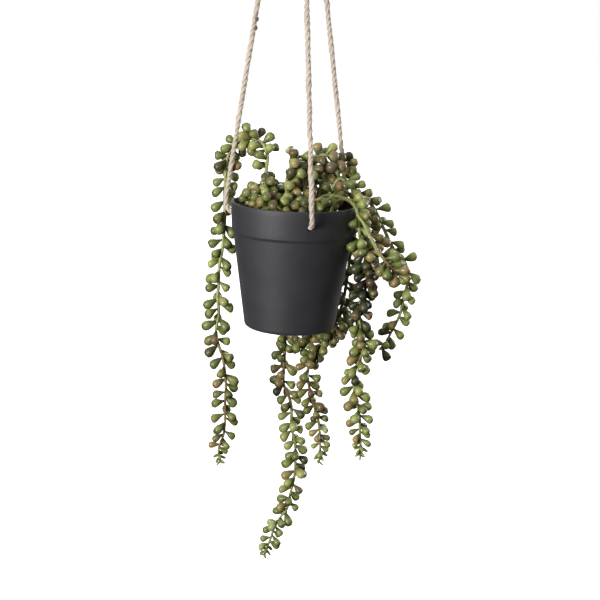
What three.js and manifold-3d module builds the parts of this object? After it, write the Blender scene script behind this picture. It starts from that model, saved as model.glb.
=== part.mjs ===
// A string of pearls plant in a hanging pot, with its three twisted cords.
//
// Millimetres, +Z up, the viewer's side is -Y. The origin is the inside top of the hanging loop,
// where the whole thing is held. The pot hangs a little askew, as one on three cords does.
// Every leafy stem is one solid: its tube with its pearls joined on. The pearls follow a rule:
// they wind round the stem by the golden angle, and one that would touch a neighbour turns on
// round the stem until it is clear, or is left out.

import * as THREE from 'three';
import { mergeVertices } from 'three/addons/utils/BufferGeometryUtils.js';
import Module from 'manifold-3d';

const wasm = await Module();
wasm.setup();

// ---- driving dimensions ----------------------------------------------------------------------

const HANG_DROP = 430;            // loop to rim
const GAP = 0.3;                  // between pieces that touch

const POT = {
  x: -5.5,                        // rim centre, sideways from below the loop
  tiltDeg: 2.3,                   // leans to the right
  rimR: 60,
  collarH: 28.5,
  collarR: 58.4,                  // foot of the collar
  bodyR: 57.2,                    // just under the collar
  baseR: 44.1,
  height: 120.4,
  edgeR: 4,                       // rounding of the base edge
  wall: 2.5,
  floor: 3,
  sides: 36,
};
const HOLE = { r: 3.5, drop: 14.5, anglesDeg: [15.6, 131, -104.4], names: ['front', 'right', 'left'] };
const SOIL = { crown: -15, edge: -21, holeDepth: 13 };

const CORD = { r: 2.2, sides: 8, step: 10, bendR: 9 };
const KNOT = { drop: 40, r: 8, halfH: 9, gatherR: 4.2 };
const STOPPER_R = 4.9;
const LOOP = { halfWidth: 11.5, foot: 3.4 };

const STEM = { r: 1.25, sides: 4, step: 7.5, clear: 0.4 };
const PEARL = { length: 13.2, r: 4.25, sides: 5, pitch: 10.4, droop: 0.3, clear: 0.35, tries: 9 };
const BUD = { count: 4, length: 5.2, r: 1.1, sides: 4, pitch: 3.2 };
const GOLDEN_ANGLE = Math.PI * (3 - Math.sqrt(5));

const COLOURS = {
  pot: 0x48474b,
  soil: 0x3b2c21,
  cord: 0xbead9b,
  pearl: 0x6f8440,
};

// ---- routes ----------------------------------------------------------------------------------
// root: where the stem stands in the soil, in the pot's own x and y.
// route: points of its centre line, x, y and height above the rim. bare: length without pearls.

const STRANDS = [
  {
    name: 'strand_left', root: [-29, -7], bare: 14,
    route: [
      [-36, -5, 3], [-33, 0, 17], [-32, 3, 31], [-31, 7, 44], [-35, 10, 54], [-43, 13, 59],
      [-52, 17, 58], [-60, 21, 54], [-67, 23, 46], [-71, 24, 34], [-72, 24, 20], [-73, 25, 3],
      [-73, 25, -14], [-74, 25, -31], [-76, 24, -50], [-79, 23, -66], [-80, 22, -84],
      [-81, 21, -98], [-80, 20, -113], [-83, 20, -130], [-81, 20, -144], [-77, 20, -156],
      [-75, 20, -171], [-74, 20, -188], [-75, 19, -204], [-75, 19, -220], [-77, 18, -238],
      [-81, 18, -249], [-82, 18, -259], [-80, 18, -267],
    ],
  },
  {
    name: 'strand_back_long', root: [-7, 34], bare: 14,
    route: [
      [-13, 46, 7], [-15, 58, 11], [-16, 67, 5], [-17, 72, -10], [-17, 73, -40], [-16, 72, -75],
      [-15, 71, -112], [-15, 70, -140], [-16, 70, -169], [-17, 70, -186], [-17, 70, -200],
      [-12, 70, -212], [-9, 70, -225], [-9, 70, -240], [-8, 70, -252], [-5, 70, -266],
      [-5, 70, -280], [-5, 70, -294], [-7, 70, -307], [-10, 70, -320], [-14, 70, -338],
      [-20, 70, -346], [-26, 70, -356], [-30, 70, -367], [-34, 70, -379], [-39, 70, -391],
    ],
  },
  {
    name: 'strand_back_short', root: [27, 23], bare: 14,
    route: [
      [29, 25, 2], [38, 27, 8], [47, 28, 5], [52, 30, -6], [53, 32, -18], [53, 36, -32],
      [51, 40, -48], [49, 42, -66], [47, 44, -82], [45, 46, -97], [42, 48, -112], [38, 50, -125],
      [32, 52, -138], [23, 54, -151], [14, 56, -162], [9, 58, -175], [8, 58, -188],
      [10, 58, -203], [13, 58, -216], [18, 58, -230], [20, 58, -244], [21, 58, -257],
      [21, 58, -268], [20, 58, -281],
    ],
  },
  {
    name: 'strand_right_long', root: [32, -26], bare: 14,
    route: [
      [33, -27, 4], [42, -27, 7], [50, -28, 2], [54, -29, -8], [55, -30, -20], [57, -29, -33],
      [61, -27, -46], [63, -25, -59], [63, -23, -72], [61, -21, -83], [57, -20, -94],
      [57, -20, -110], [58, -20, -123], [60, -20, -135], [58, -20, -146], [54, -20, -156],
      [52, -20, -166], [52, -20, -175], [54, -20, -186], [56, -20, -196], [58, -20, -207],
      [58, -20, -219], [59, -20, -232], [59, -20, -247],
    ],
  },
  {
    name: 'strand_right_outer', root: [25, 3], bare: 12,
    route: [
      [30, 1, 12], [38, 0, 23], [49, 4, 14], [61, 8, 5], [71, 10, -7], [78, 12, -21],
      [84, 13, -34], [90, 14, -46], [97, 14, -54], [102, 14, -61], [105, 14, -70],
      [105, 14, -80], [103, 14, -89], [101, 14, -99], [99, 14, -109], [95, 14, -120],
      [90, 14, -130], [85, 13, -139], [78, 12, -148],
    ],
  },
  {
    name: 'strand_right_front', root: [14, -24], bare: 34,
    route: [
      [15, -24, 3], [22, -22, 9], [31, -20, 9], [42, -16, 6], [51, -12, 2], [57, -11, -5],
      [61, -10, -14], [64, -9, -23], [67, -9, -31], [71, -9, -39], [77, -9, -48], [82, -9, -56],
      [88, -9, -63], [95, -8, -67],
    ],
  },
  {
    name: 'heap_left_front', root: [-20, -22], bare: 6,
    route: [[-27, -25, 4], [-34, -26, 11], [-42, -24, 11], [-50, -20, 4]],
  },
  {
    name: 'heap_rise_left', root: [-4, -25], bare: 8,
    route: [[-11, -26, 6], [-13, -22, 20], [-10, -14, 31], [-6, -7, 39], [0, -2, 45]],
  },
  {
    name: 'heap_top', root: [8, -12], bare: 8,
    route: [[4, -11, 10], [6, -9, 25], [10, -6, 38], [17, -3, 45], [25, -3, 45], [32, -5, 37]],
  },
  {
    name: 'heap_right', root: [22, 13], bare: 8,
    route: [[18, 12, 6], [22, 10, 20], [29, 8, 33], [37, 6, 38], [44, 5, 34], [48, 5, 25]],
  },
  {
    name: 'heap_front', root: [4, -36], bare: 6,
    route: [[2, -38, -4], [8, -40, 5], [18, -40, 9], [27, -37, 9], [33, -33, 15]],
  },
  {
    name: 'heap_left_back', root: [-19, 15], bare: 6,
    route: [[-28, 18, 4], [-33, 24, 13], [-37, 32, 14], [-40, 40, 7]],
  },
  {
    name: 'heap_back', root: [12, 34], bare: 6,
    route: [[8, 38, 2], [13, 44, 11], [21, 48, 12], [28, 50, 5]],
  },
  {
    name: 'heap_middle_left', root: [-15, -4], bare: 6,
    route: [[-20, -5, 6], [-21, -8, 18], [-23, -14, 26], [-28, -18, 24]],
  },
  {
    name: 'heap_middle_back', root: [-2, 14], bare: 6,
    route: [[-8, 15, 6], [-11, 18, 19], [-8, 22, 29], [0, 24, 34], [8, 23, 31]],
  },
  {
    name: 'heap_low_left', root: [-10, -38], bare: 6,
    route: [[-17, -40, -2], [-24, -41, 4], [-32, -38, 7], [-40, -34, 5]],
  },
];

// ---- helpers ---------------------------------------------------------------------------------

const v = (x, y, z) => new THREE.Vector3(x, y, z);
const radians = THREE.MathUtils.degToRad;

// a closed three.js geometry as a solid that can be joined and cut
function solid(geometry) {
  const bare = geometry.clone();
  bare.deleteAttribute('normal');
  bare.deleteAttribute('uv');
  const merged = mergeVertices(bare, 1e-4);
  const index = merged.index.array;
  const triangles = [];
  for (let i = 0; i < index.length; i += 3) {
    const [a, b, c] = index.slice(i, i + 3);
    if (a !== b && b !== c && c !== a) triangles.push(a, b, c);
  }
  const vertProperties = new Float32Array(merged.attributes.position.array);
  return new wasm.Manifold(
    new wasm.Mesh({ numProp: 3, vertProperties, triVerts: new Uint32Array(triangles) }),
  );
}

function geometryOf(body) {
  const mesh = body.getMesh();
  const geometry = new THREE.BufferGeometry();
  geometry.setAttribute('position', new THREE.BufferAttribute(mesh.vertProperties, 3));
  geometry.setIndex(new THREE.BufferAttribute(mesh.triVerts, 1));
  geometry.computeVertexNormals();
  return geometry;
}

function named(name, geometry, colour, roughness = 0.8) {
  const material = new THREE.MeshStandardMaterial({ color: colour, roughness, metalness: 0 });
  const mesh = new THREE.Mesh(geometry, material);
  mesh.name = name;
  return mesh;
}

// a round tube along a curve, with flat ends
function tube(curve, r, sides, step) {
  const section = new THREE.Shape();
  for (let i = 0; i < sides; i += 1) {
    const turn = (2 * Math.PI * i) / sides;
    section[i === 0 ? 'moveTo' : 'lineTo'](r * Math.cos(turn), r * Math.sin(turn));
  }
  const steps = stepsOf(curve, step);
  return new THREE.ExtrudeGeometry(section, { steps, extrudePath: curve, bevelEnabled: false });
}

function stepsOf(curve, step) {
  return Math.ceil(curve.getLength() / step);
}

// a point on the middle line of that tube, whose steps are straight
function onTube(curve, step, share) {
  const steps = stepsOf(curve, step);
  const place = Math.min(share * steps, steps - 1e-6);
  const i = Math.floor(place);
  return curve.getPointAt(i / steps).lerp(curve.getPointAt((i + 1) / steps), place - i);
}

// a solid of revolution about the line from `at` along `direction`; profile holds [along, radius]
function turned(profile, sides, at, direction) {
  const points = profile.map(([along, r]) => new THREE.Vector2(r, along));
  const geometry = new THREE.LatheGeometry(points, sides);
  const turn = new THREE.Quaternion().setFromUnitVectors(v(0, 1, 0), direction);
  return geometry.applyQuaternion(turn).translate(at.x, at.y, at.z);
}

// ---- pot and soil, in the pot's own frame: z = 0 at the rim ------------------------------------

const potGroup = new THREE.Group();
potGroup.position.set(POT.x, 0, 0);
potGroup.rotation.y = radians(POT.tiltDeg);
potGroup.updateMatrix();
const toWorld = (x, y, z) => v(x, y, z).applyMatrix4(potGroup.matrix);
const fromWorld = potGroup.matrix.clone().invert();

// radius of the pot's outside at a height below the rim
function outerR(z) {
  if (z > -POT.collarH) return POT.rimR + ((POT.collarR - POT.rimR) * -z) / POT.collarH;
  const along = (-z - POT.collarH) / (POT.height - POT.collarH);
  return POT.bodyR + (POT.baseR - POT.bodyR) * along;
}
// the inside is smooth: one cone from the rim to the floor
function innerR(z) {
  return POT.rimR - POT.wall + ((POT.baseR - POT.rimR) * -z) / POT.height;
}

function potShell() {
  const { height, edgeR, baseR, floor, collarH, rimR, wall } = POT;
  const profile = [[0, -height]];
  for (let i = 0; i <= 3; i += 1) {
    const turn = (Math.PI / 2) * (i / 3);
    profile.push([baseR - edgeR + edgeR * Math.sin(turn), -height + edgeR * (1 - Math.cos(turn))]);
  }
  profile.push([outerR(-collarH - 1), -collarH - 1]);
  profile.push([POT.collarR, -collarH]);
  profile.push([rimR, -1]);
  profile.push([rimR - 0.8, 0]);
  profile.push([rimR - wall + 0.6, 0]);
  profile.push([innerR(-1), -1]);
  profile.push([innerR(-height + floor), -height + floor]);
  profile.push([0, -height + floor]);
  const points = profile.map(([r, z]) => new THREE.Vector2(r, z));
  const shell = new THREE.LatheGeometry(points, POT.sides).rotateX(Math.PI / 2);
  let body = solid(shell);
  for (const angleDeg of HOLE.anglesDeg) body = body.subtract(solid(holeCutter(angleDeg)));
  return geometryOf(body);
}

// outward direction of a hole, measured from the front towards the right
function outward(angleDeg) {
  return v(Math.sin(radians(angleDeg)), -Math.cos(radians(angleDeg)), 0);
}

function holeCutter(angleDeg) {
  const direction = outward(angleDeg);
  const start = direction.clone().multiplyScalar(POT.rimR - 12);
  start.z = -HOLE.drop;
  return turned([[0, 0], [0, HOLE.r], [24, HOLE.r], [24, 0]], 12, start, direction);
}

function soilTop(r) {
  return SOIL.crown + (SOIL.edge - SOIL.crown) * Math.min(1, r / innerR(SOIL.edge)) ** 2;
}

function soilFill() {
  const bottom = -POT.height + POT.floor + GAP;
  const edgeR = innerR(SOIL.edge) - GAP;
  const points = [
    [0, bottom], [innerR(bottom) - GAP, bottom], [edgeR, SOIL.edge],
    [0.7 * edgeR, soilTop(0.7 * edgeR)], [0.35 * edgeR, soilTop(0.35 * edgeR)], [0, SOIL.crown],
  ];
  const geometry = new THREE.LatheGeometry(points.map(([r, z]) => new THREE.Vector2(r, z)), 24);
  let body = solid(geometry.rotateX(Math.PI / 2));
  const r = STEM.r + STEM.clear;
  for (const { root: [x, y] } of STRANDS) {
    const bottomZ = soilTop(Math.hypot(x, y)) - SOIL.holeDepth;
    const cutter = turned([[0, 0], [0, r], [40, r], [40, 0]], 6, v(x, y, bottomZ), v(0, 0, 1));
    body = body.subtract(solid(cutter));
  }
  return geometryOf(body);
}

// ---- cords, knots and loop ---------------------------------------------------------------------

const knotCentre = v(0, 0, HANG_DROP - KNOT.drop);

// out of the hole, round a quarter bend, then straight up to the gathering knot
function cordCurve(angleDeg) {
  const direction = outward(angleDeg);
  const place = (r, z) => toWorld(direction.x * r, direction.y * r, z);
  const bendFrom = outerR(-HOLE.drop) - 0.4;
  const points = [place(stopperR() + STOPPER_R + GAP, -HOLE.drop)];
  for (const turnDeg of [0, 25, 50, 75]) {
    const r = bendFrom + CORD.bendR * Math.sin(radians(turnDeg));
    points.push(place(r, -HOLE.drop + CORD.bendR * (1 - Math.cos(radians(turnDeg)))));
  }
  const foot = place(bendFrom + 0.99 * CORD.bendR, 2);
  const top = knotCentre.clone().addScaledVector(direction, KNOT.gatherR);
  top.z -= KNOT.halfH - 0.5;
  for (const share of [0, 0.04, 0.12, 0.3, 0.5, 0.7, 0.85, 0.95, 1]) {
    points.push(foot.clone().lerp(top, share));
  }
  return new THREE.CatmullRomCurve3(points);
}

// distance of a stopper knot from the pot's axis: it bears on the edge of its hole
function stopperR() {
  return innerR(-HOLE.drop) - Math.sqrt(STOPPER_R ** 2 - HOLE.r ** 2) - GAP - 0.2;
}

// profile of a rounded knot
function knotProfile(r, halfH, rings) {
  const profile = [];
  for (let i = 0; i <= rings; i += 1) {
    const turn = (Math.PI * i) / rings;
    profile.push([-halfH * Math.cos(turn), r * Math.sin(turn)]);
  }
  profile[0][1] = 0;
  profile[rings][1] = 0;
  return profile;
}

function loopCurve() {
  const top = HANG_DROP + CORD.r;
  const bottom = knotCentre.z + KNOT.halfH;
  const shoulder = top - LOOP.halfWidth;
  const points = [];
  for (const side of [-1, 1]) {
    const half = [
      v(side * LOOP.foot, 0, bottom), v(side * LOOP.foot * 1.2, 0, bottom + 4),
      v(side * LOOP.halfWidth * 0.75, 0, bottom + 11), v(side * LOOP.halfWidth, 0, shoulder - 4),
      v(side * LOOP.halfWidth * 0.72, 0, top - LOOP.halfWidth * 0.32),
    ];
    if (side < 0) points.push(...half, v(0, 0, top));
    else points.push(...half.reverse());
  }
  return new THREE.CatmullRomCurve3(points);
}

// ---- pearls: rule and clearance -----------------------------------------------------------------

// everything that a pearl has to keep clear of, as round-ended rods { a, b, r, owner }
const rods = [];

function addRods(curve, r, owner, step) {
  const points = curve.getSpacedPoints(Math.ceil(curve.getLength() / step));
  points.slice(1).forEach((b, i) => rods.push({ a: points[i], b, r, owner }));
}

// smallest distance between two straight rods' centre lines
function rodDistance(p, q) {
  const d1 = p.b.clone().sub(p.a);
  const d2 = q.b.clone().sub(q.a);
  const between = p.a.clone().sub(q.a);
  const a = d1.lengthSq();
  const e = d2.lengthSq();
  const f = d2.dot(between);
  const c = d1.dot(between);
  const b = d1.dot(d2);
  const spread = a * e - b * b;
  const clamp = (t) => Math.min(1, Math.max(0, t));
  let s = spread > 1e-9 ? clamp((b * f - c * e) / spread) : 0;
  let t = (b * s + f) / e;
  if (t < 0 || t > 1) {
    t = clamp(t);
    s = clamp((b * t - c) / a);
  }
  return p.a.clone().addScaledVector(d1, s).distanceTo(q.a.clone().addScaledVector(d2, t));
}

// gap between a ball and the pot's wall, or the soil when the ball is inside the pot
function potGap(centre, r) {
  const local = centre.clone().applyMatrix4(fromWorld);
  const away = Math.hypot(local.x, local.y);
  if (local.z < -POT.height - r) return Infinity;
  const z = Math.min(0, Math.max(-POT.height, local.z));
  const above = Math.max(0, local.z);
  const outside = away - outerR(z);
  const inside = innerR(z) - away;
  const wallGap = Math.hypot(Math.max(0, outside, inside), above);
  const soilGap = inside > 0 ? local.z - soilTop(away) : Infinity;
  return Math.min(wallGap, soilGap) - r;
}

function pearlRods(at, direction, owner) {
  const along = (d) => at.clone().addScaledVector(direction, d);
  return [
    { a: along(2.2), b: along(6), r: 2.4, owner, neck: true },
    { a: along(7), b: along(PEARL.length - PEARL.r), r: PEARL.r, owner },
  ];
}

function isClear(pearl, owner) {
  for (const rod of pearl) {
    const middle = rod.a.clone().lerp(rod.b, 0.5);
    if ([rod.a, middle, rod.b].some((point) => potGap(point, rod.r) < PEARL.clear)) return false;
    for (const other of rods) {
      if (other.owner === owner && (rod.neck || other.neck || other.stem)) continue;
      if (rodDistance(rod, other) < rod.r + other.r + PEARL.clear) return false;
    }
  }
  return true;
}

// two directions across a stem at a point, the same way round all along it
function across(curve, share, side) {
  const tangent = curve.getTangentAt(share);
  const first = side.clone().addScaledVector(tangent, -side.dot(tangent)).normalize();
  return { tangent, first, second: tangent.clone().cross(first) };
}

function dropShape(at, direction, length, r, sides) {
  const profile = [[-0.4, 0], [0.48 * length, 0.76 * r], [0.78 * length, r], [length, 0]];
  return solid(turned(profile, sides, at, direction));
}

// one leafy stem: the tube, its pearls and the small buds at its tip, joined
function leafyStem({ name, bare }, curve, number) {
  const length = curve.getLength();
  const start = curve.getPointAt(0);
  const end = curve.getPointAt(1);
  const side = end.clone().sub(start).setZ(0).cross(v(0, 0, 1)).normalize();
  let body = solid(tube(curve, STEM.r, STEM.sides, STEM.step));
  const budLength = BUD.count * BUD.pitch;
  const first = SOIL.holeDepth + bare;
  const count = Math.floor((length - budLength - first) / PEARL.pitch);
  for (let i = 0; i <= count; i += 1) {
    const share = (first + i * PEARL.pitch) / length;
    const at = onTube(curve, STEM.step, share);
    const frame = across(curve, share, side);
    for (let attempt = 0; attempt < PEARL.tries; attempt += 1) {
      const turn = (number + i + attempt * 1.7) * GOLDEN_ANGLE;
      const direction = frame.first.clone().multiplyScalar(Math.cos(turn))
        .addScaledVector(frame.second, Math.sin(turn))
        .addScaledVector(frame.tangent, PEARL.droop)
        .normalize();
      const pearl = pearlRods(at, direction, name);
      if (isClear(pearl, name)) {
        rods.push(...pearl);
        body = body.add(dropShape(at, direction, PEARL.length, PEARL.r, PEARL.sides));
        break;
      }
    }
  }
  for (let i = 0; i < BUD.count; i += 1) {
    const share = (length - budLength + (i + 0.6) * BUD.pitch) / length;
    const frame = across(curve, share, side);
    const turn = i * GOLDEN_ANGLE;
    const direction = frame.first.clone().multiplyScalar(Math.cos(turn))
      .addScaledVector(frame.second, Math.sin(turn))
      .addScaledVector(frame.tangent, 0.8)
      .normalize();
    const at = onTube(curve, STEM.step, share);
    body = body.add(dropShape(at, direction, BUD.length, BUD.r, BUD.sides));
  }
  return geometryOf(body);
}

// ---- the whole ---------------------------------------------------------------------------------

const part = new THREE.Group();
part.name = 'string_of_pearls';
part.position.z = -HANG_DROP;
part.add(potGroup);
potGroup.add(named('pot', potShell(), COLOURS.pot, 0.6));
potGroup.add(named('soil', soilFill(), COLOURS.soil, 1));

HOLE.anglesDeg.forEach((angleDeg, i) => {
  const curve = cordCurve(angleDeg);
  addRods(curve, CORD.r, 'cord', 8);
  const cord = tube(curve, CORD.r, CORD.sides, CORD.step);
  part.add(named(`cord_${HOLE.names[i]}`, cord, COLOURS.cord));
  const direction = outward(angleDeg);
  const centre = direction.clone().multiplyScalar(stopperR()).setZ(-HOLE.drop);
  const stopper = turned(knotProfile(STOPPER_R, STOPPER_R, 5), 8, centre, direction);
  potGroup.add(named(`stopper_knot_${HOLE.names[i]}`, stopper, COLOURS.cord));
});
const gather = turned(knotProfile(KNOT.r, KNOT.halfH, 7), 12, knotCentre, v(0, 0, 1));
part.add(named('gathering_knot', gather, COLOURS.cord));
const hangingLoop = tube(loopCurve(), CORD.r, CORD.sides, 5);
part.add(named('hanging_loop', hangingLoop, COLOURS.cord));

const curves = STRANDS.map(({ root: [x, y], route }) => {
  const top = soilTop(Math.hypot(x, y));
  const foot = [top - SOIL.holeDepth + 0.5, top - 4, top + 2].map((z) => toWorld(x, y, z));
  return new THREE.CatmullRomCurve3([...foot, ...route.map((point) => v(...point))]);
});
curves.forEach((curve, i) => {
  const before = rods.length;
  addRods(curve, STEM.r, STRANDS[i].name, 5);
  rods.slice(before).forEach((rod) => Object.assign(rod, { stem: true }));
});
STRANDS.forEach((strand, i) => {
  part.add(named(strand.name, leafyStem(strand, curves[i], i), COLOURS.pearl, 0.5));
});

export default part;
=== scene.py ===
# %% [markdown]
# # A string of pearls in a hanging pot
#
# Three twisted jute cords run down from a loop and a gathering knot, through three holes in the
# collar of a matt pot. A plant stands in the pot: round, pear-shaped leaves, the pearls, sit on
# thin stems that pile up on the soil and trail over the edge.
#
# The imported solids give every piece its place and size. This file dresses them: each piece is a
# surface worked out on a grid with numpy, in metres, in the frame of the solids, where the
# origin is the inside top of the hanging loop and z points up.

import bpy
import numpy as np
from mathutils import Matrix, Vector


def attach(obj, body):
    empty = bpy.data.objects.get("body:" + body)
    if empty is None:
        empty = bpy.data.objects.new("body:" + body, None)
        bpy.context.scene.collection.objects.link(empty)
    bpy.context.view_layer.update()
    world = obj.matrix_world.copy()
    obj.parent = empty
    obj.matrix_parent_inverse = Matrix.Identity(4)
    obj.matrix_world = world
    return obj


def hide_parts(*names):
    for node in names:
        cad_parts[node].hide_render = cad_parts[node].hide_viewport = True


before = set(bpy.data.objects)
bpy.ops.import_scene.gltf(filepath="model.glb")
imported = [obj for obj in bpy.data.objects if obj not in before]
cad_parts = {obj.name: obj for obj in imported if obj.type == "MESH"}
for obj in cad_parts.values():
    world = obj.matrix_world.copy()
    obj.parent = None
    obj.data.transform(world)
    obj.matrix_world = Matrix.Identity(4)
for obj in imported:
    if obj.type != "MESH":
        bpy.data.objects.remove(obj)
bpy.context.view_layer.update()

print("solids:", len(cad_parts))

# %% [markdown]
# ## The camera
#
# The pot is seen from the front and a little from above, so that the edge shows as a slim
# ellipse. A long lens far away keeps the cords nearly parallel. The hanging loop and the knot
# are above the picture.

# %% Camera
MM = 0.001
CAMERA_PLACE = (0, -1.2, -0.256)
CAMERA_DOWN_DEG = 12.63
LENS_MM = 76.32


def make_camera():
    """A camera that looks along +Y, tipped down by CAMERA_DOWN_DEG."""
    camera = bpy.data.objects.new("camera", bpy.data.cameras.new("camera"))
    bpy.context.collection.objects.link(camera)
    camera.location = CAMERA_PLACE
    camera.rotation_euler = (np.radians(90 - CAMERA_DOWN_DEG), 0, 0)
    camera.data.lens = LENS_MM
    bpy.context.scene.camera = camera


make_camera()
print("camera at", CAMERA_PLACE)

# %% [markdown]
# ## Lines
#
# Stems and cords are known by a few points each. A curve through them has to stay close to the
# points and may not overshoot at sharp turns. A centripetal Catmull-Rom curve does that, and
# it is the one that the solids follow, so the same points give the same line.
#
# A tube also needs two directions across the line at every point. One fixed side direction,
# less its part along the line, gives the first; the second stands square to both.

# %% Smooth lines and the directions across them
FINE_CUTS = 24  # cuts of each stretch before the line is measured


def even_line(fine, step):
    """The same line with equal distances of about `step` between its points."""
    walked = np.append(0, np.cumsum(np.linalg.norm(np.diff(fine, axis=0), axis=1)))
    count = int(np.ceil(walked[-1] / step)) + 1
    places = np.linspace(0, walked[-1], count)
    return np.stack([np.interp(places, walked, fine[:, k]) for k in range(3)], axis=1)


def smooth_line(points, step):
    """An even line through the points: a centripetal Catmull-Rom curve.

    The time between two points is the square root of their distance. At each point the speed
    is the mean of the slopes before and after it, weighted by those times, and a cubic joins
    two points with their speeds. The curve is then cut into equal steps of about `step`."""
    points = np.asarray(points, float)
    ends = 2 * points[[0, -1]] - points[[1, -2]]
    points = np.vstack([ends[:1], points, ends[1:]])
    times = np.sqrt(np.linalg.norm(np.diff(points, axis=0), axis=1))[:, None]
    slopes = np.diff(points, axis=0) / times
    across = (points[2:] - points[:-2]) / (times[:-1] + times[1:])
    speeds = slopes[:-1] - across + slopes[1:]
    u = (np.arange(FINE_CUTS) / FINE_CUTS)[:, None, None]
    fine = (
        (2 * u**3 - 3 * u**2 + 1) * points[1:-2]
        + (u**3 - 2 * u**2 + u) * times[1:-1] * speeds[:-1]
        + (3 * u**2 - 2 * u**3) * points[2:-1]
        + (u**3 - u**2) * times[1:-1] * speeds[1:]
    )
    fine = np.vstack([fine.transpose(1, 0, 2).reshape(-1, 3), points[-2:-1]])
    return even_line(fine, step)


def length_of(line):
    """The sum of the distances from point to point."""
    return np.linalg.norm(np.diff(line, axis=0), axis=1).sum()


def point_at(line, places):
    """The numbers of the line's points at these distances along it."""
    return np.round(np.asarray(places) / length_of(line) * (len(line) - 1)).astype(int)


def unit(vectors):
    """Vectors divided by their lengths, so that each is one long."""
    return vectors / np.linalg.norm(vectors, axis=-1, keepdims=True)


def full_turn(count):
    """That many angles, evenly round a circle."""
    return np.linspace(0, 2 * np.pi, count, endpoint=False)


def around(turn, first, second):
    """Directions round a line: the cosine of the angle times one, plus the sine times the other."""
    return np.cos(turn) * first + np.sin(turn) * second


def directions(line, side):
    """Along, first and second: `first` is `side` less its part along the line."""
    along = unit(np.gradient(line, axis=0))
    side = np.asarray(side, float)
    first = unit(side - along * (along @ side)[:, None])
    return along, first, np.cross(along, first)


corner = smooth_line([(0, 0, 0), (1, 0, 0), (1, 1, 0)], step=0.1)
print("length round a corner with arms of 1:", length_of(corner).round(3))

# %% [markdown]
# ## Surfaces
#
# Every piece here is a tube of some kind: a cord, a stem, a pearl, and also the pot, whose
# rings grow and shrink round one axis. So one grid serves them all. It has a row of rings for
# each copy, quads join the rings, and a fan of triangles closes each end. The faces are found
# for the whole grid at once, which is quick enough for hundreds of pearls.
#
# Values that colour the surface, such as how deep a point lies between two plies, which paints
# shade into the grooves, travel with the points as attributes, and the materials read them later.

# %% Grids to meshes
def tube_surface(rings, ends=None, values=None):
    """Closed tubes from an array of ring points (copies, rings, sides, 3).

    `ends` holds the two end points of each copy; without it they are the middles of the first
    and last rings. `values` gives one number or vector for each ring point, by name."""
    copies, count, sides = rings.shape[:3]
    number = np.arange(copies * count * sides).reshape(copies, count, sides)
    next_side = np.roll(number, -1, axis=2)
    corners = [number[:, :-1], next_side[:, :-1], next_side[:, 1:], number[:, 1:]]
    quads = np.stack(corners, axis=-1)
    middles = number.size + np.arange(2 * copies).reshape(copies, 2, 1)
    middles = np.repeat(middles, sides, axis=2)
    first_fan = np.stack([middles[:, 0], next_side[:, 0], number[:, 0]], axis=-1)
    last_fan = np.stack([middles[:, 1], number[:, -1], next_side[:, -1]], axis=-1)

    def listed(grid, end_values=None):
        if end_values is None:
            end_values = grid[:, [0, -1]].mean(axis=2)
        flat = grid.reshape(number.size, -1)
        return np.vstack([flat, end_values.reshape(2 * copies, -1)])

    return {
        "points": listed(rings, ends),
        "quads": quads.reshape(-1, 4),
        "fans": np.vstack([first_fan.reshape(-1, 3), last_fan.reshape(-1, 3)]),
        "values": {name: listed(grid) for name, grid in (values or {}).items()},
    }


def turned(section, sides):
    """Rings of one copy: the section, as distance from the axis and height, turned round z."""
    turn = full_turn(sides)[None]
    r = section[:, :1]
    z = section[:, 1:]
    return np.stack([r * np.cos(turn), r * np.sin(turn), z + 0 * turn], axis=-1)[None]


def joined(surfaces):
    """Several surfaces as one: each one's faces count on from the points before it."""
    counts = [len(surface["points"]) for surface in surfaces]
    starts = np.cumsum([0] + counts[:-1])
    pairs = list(zip(surfaces, starts))
    return {
        "points": np.vstack([surface["points"] for surface in surfaces]),
        "quads": np.vstack([surface["quads"] + start for surface, start in pairs]),
        "fans": np.vstack([surface["fans"] + start for surface, start in pairs]),
        "values": {
            name: np.vstack([surface["values"][name] for surface in surfaces])
            for name in surfaces[0]["values"]
        },
    }


tube = tube_surface(turned(np.array([[1, 0], [1, 1], [1, 2]]), sides=4))
print("three rings of four points:", len(tube["quads"]), "quads,", len(tube["fans"]), "triangles")

# %% [markdown]
# A surface becomes an object in one step. In the next the object is told its body and the
# solids that it stands for. One function does that for every piece, so that none is
# forgotten.

# %% Pieces
def make_piece(name, surface):
    """A smooth-shaded object at the origin, with its place in its mesh."""
    mesh = bpy.data.meshes.new(name)
    faces = surface["quads"].tolist() + surface["fans"].tolist()
    mesh.from_pydata(surface["points"].tolist(), [], faces)
    for value_name, numbers in surface["values"].items():
        kind, field = ("FLOAT_VECTOR", "vector") if numbers.shape[1] == 3 else ("FLOAT", "value")
        listed = mesh.attributes.new(value_name, kind, "POINT")
        listed.data.foreach_set(field, numbers.astype(np.float32).ravel())
    mesh.shade_smooth()
    piece = bpy.data.objects.new(name, mesh)
    bpy.context.collection.objects.link(piece)
    return piece


def stand_for(piece, slot, *nodes):
    """The piece rides on the only body and is shown in place of its solids."""
    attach(piece, "root")
    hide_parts(*nodes)
    print(piece.name, "stands for", *nodes)
    return piece



# %% [markdown]
# ## The pot's measures
#
# The cords pass through the pot, and the stems stand in it, so its measures come before both.
# Heights are counted from the rim, and the pot hangs a little askew. Two functions carry
# points from the pot's own frame to the frame of the whole, and back.

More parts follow.
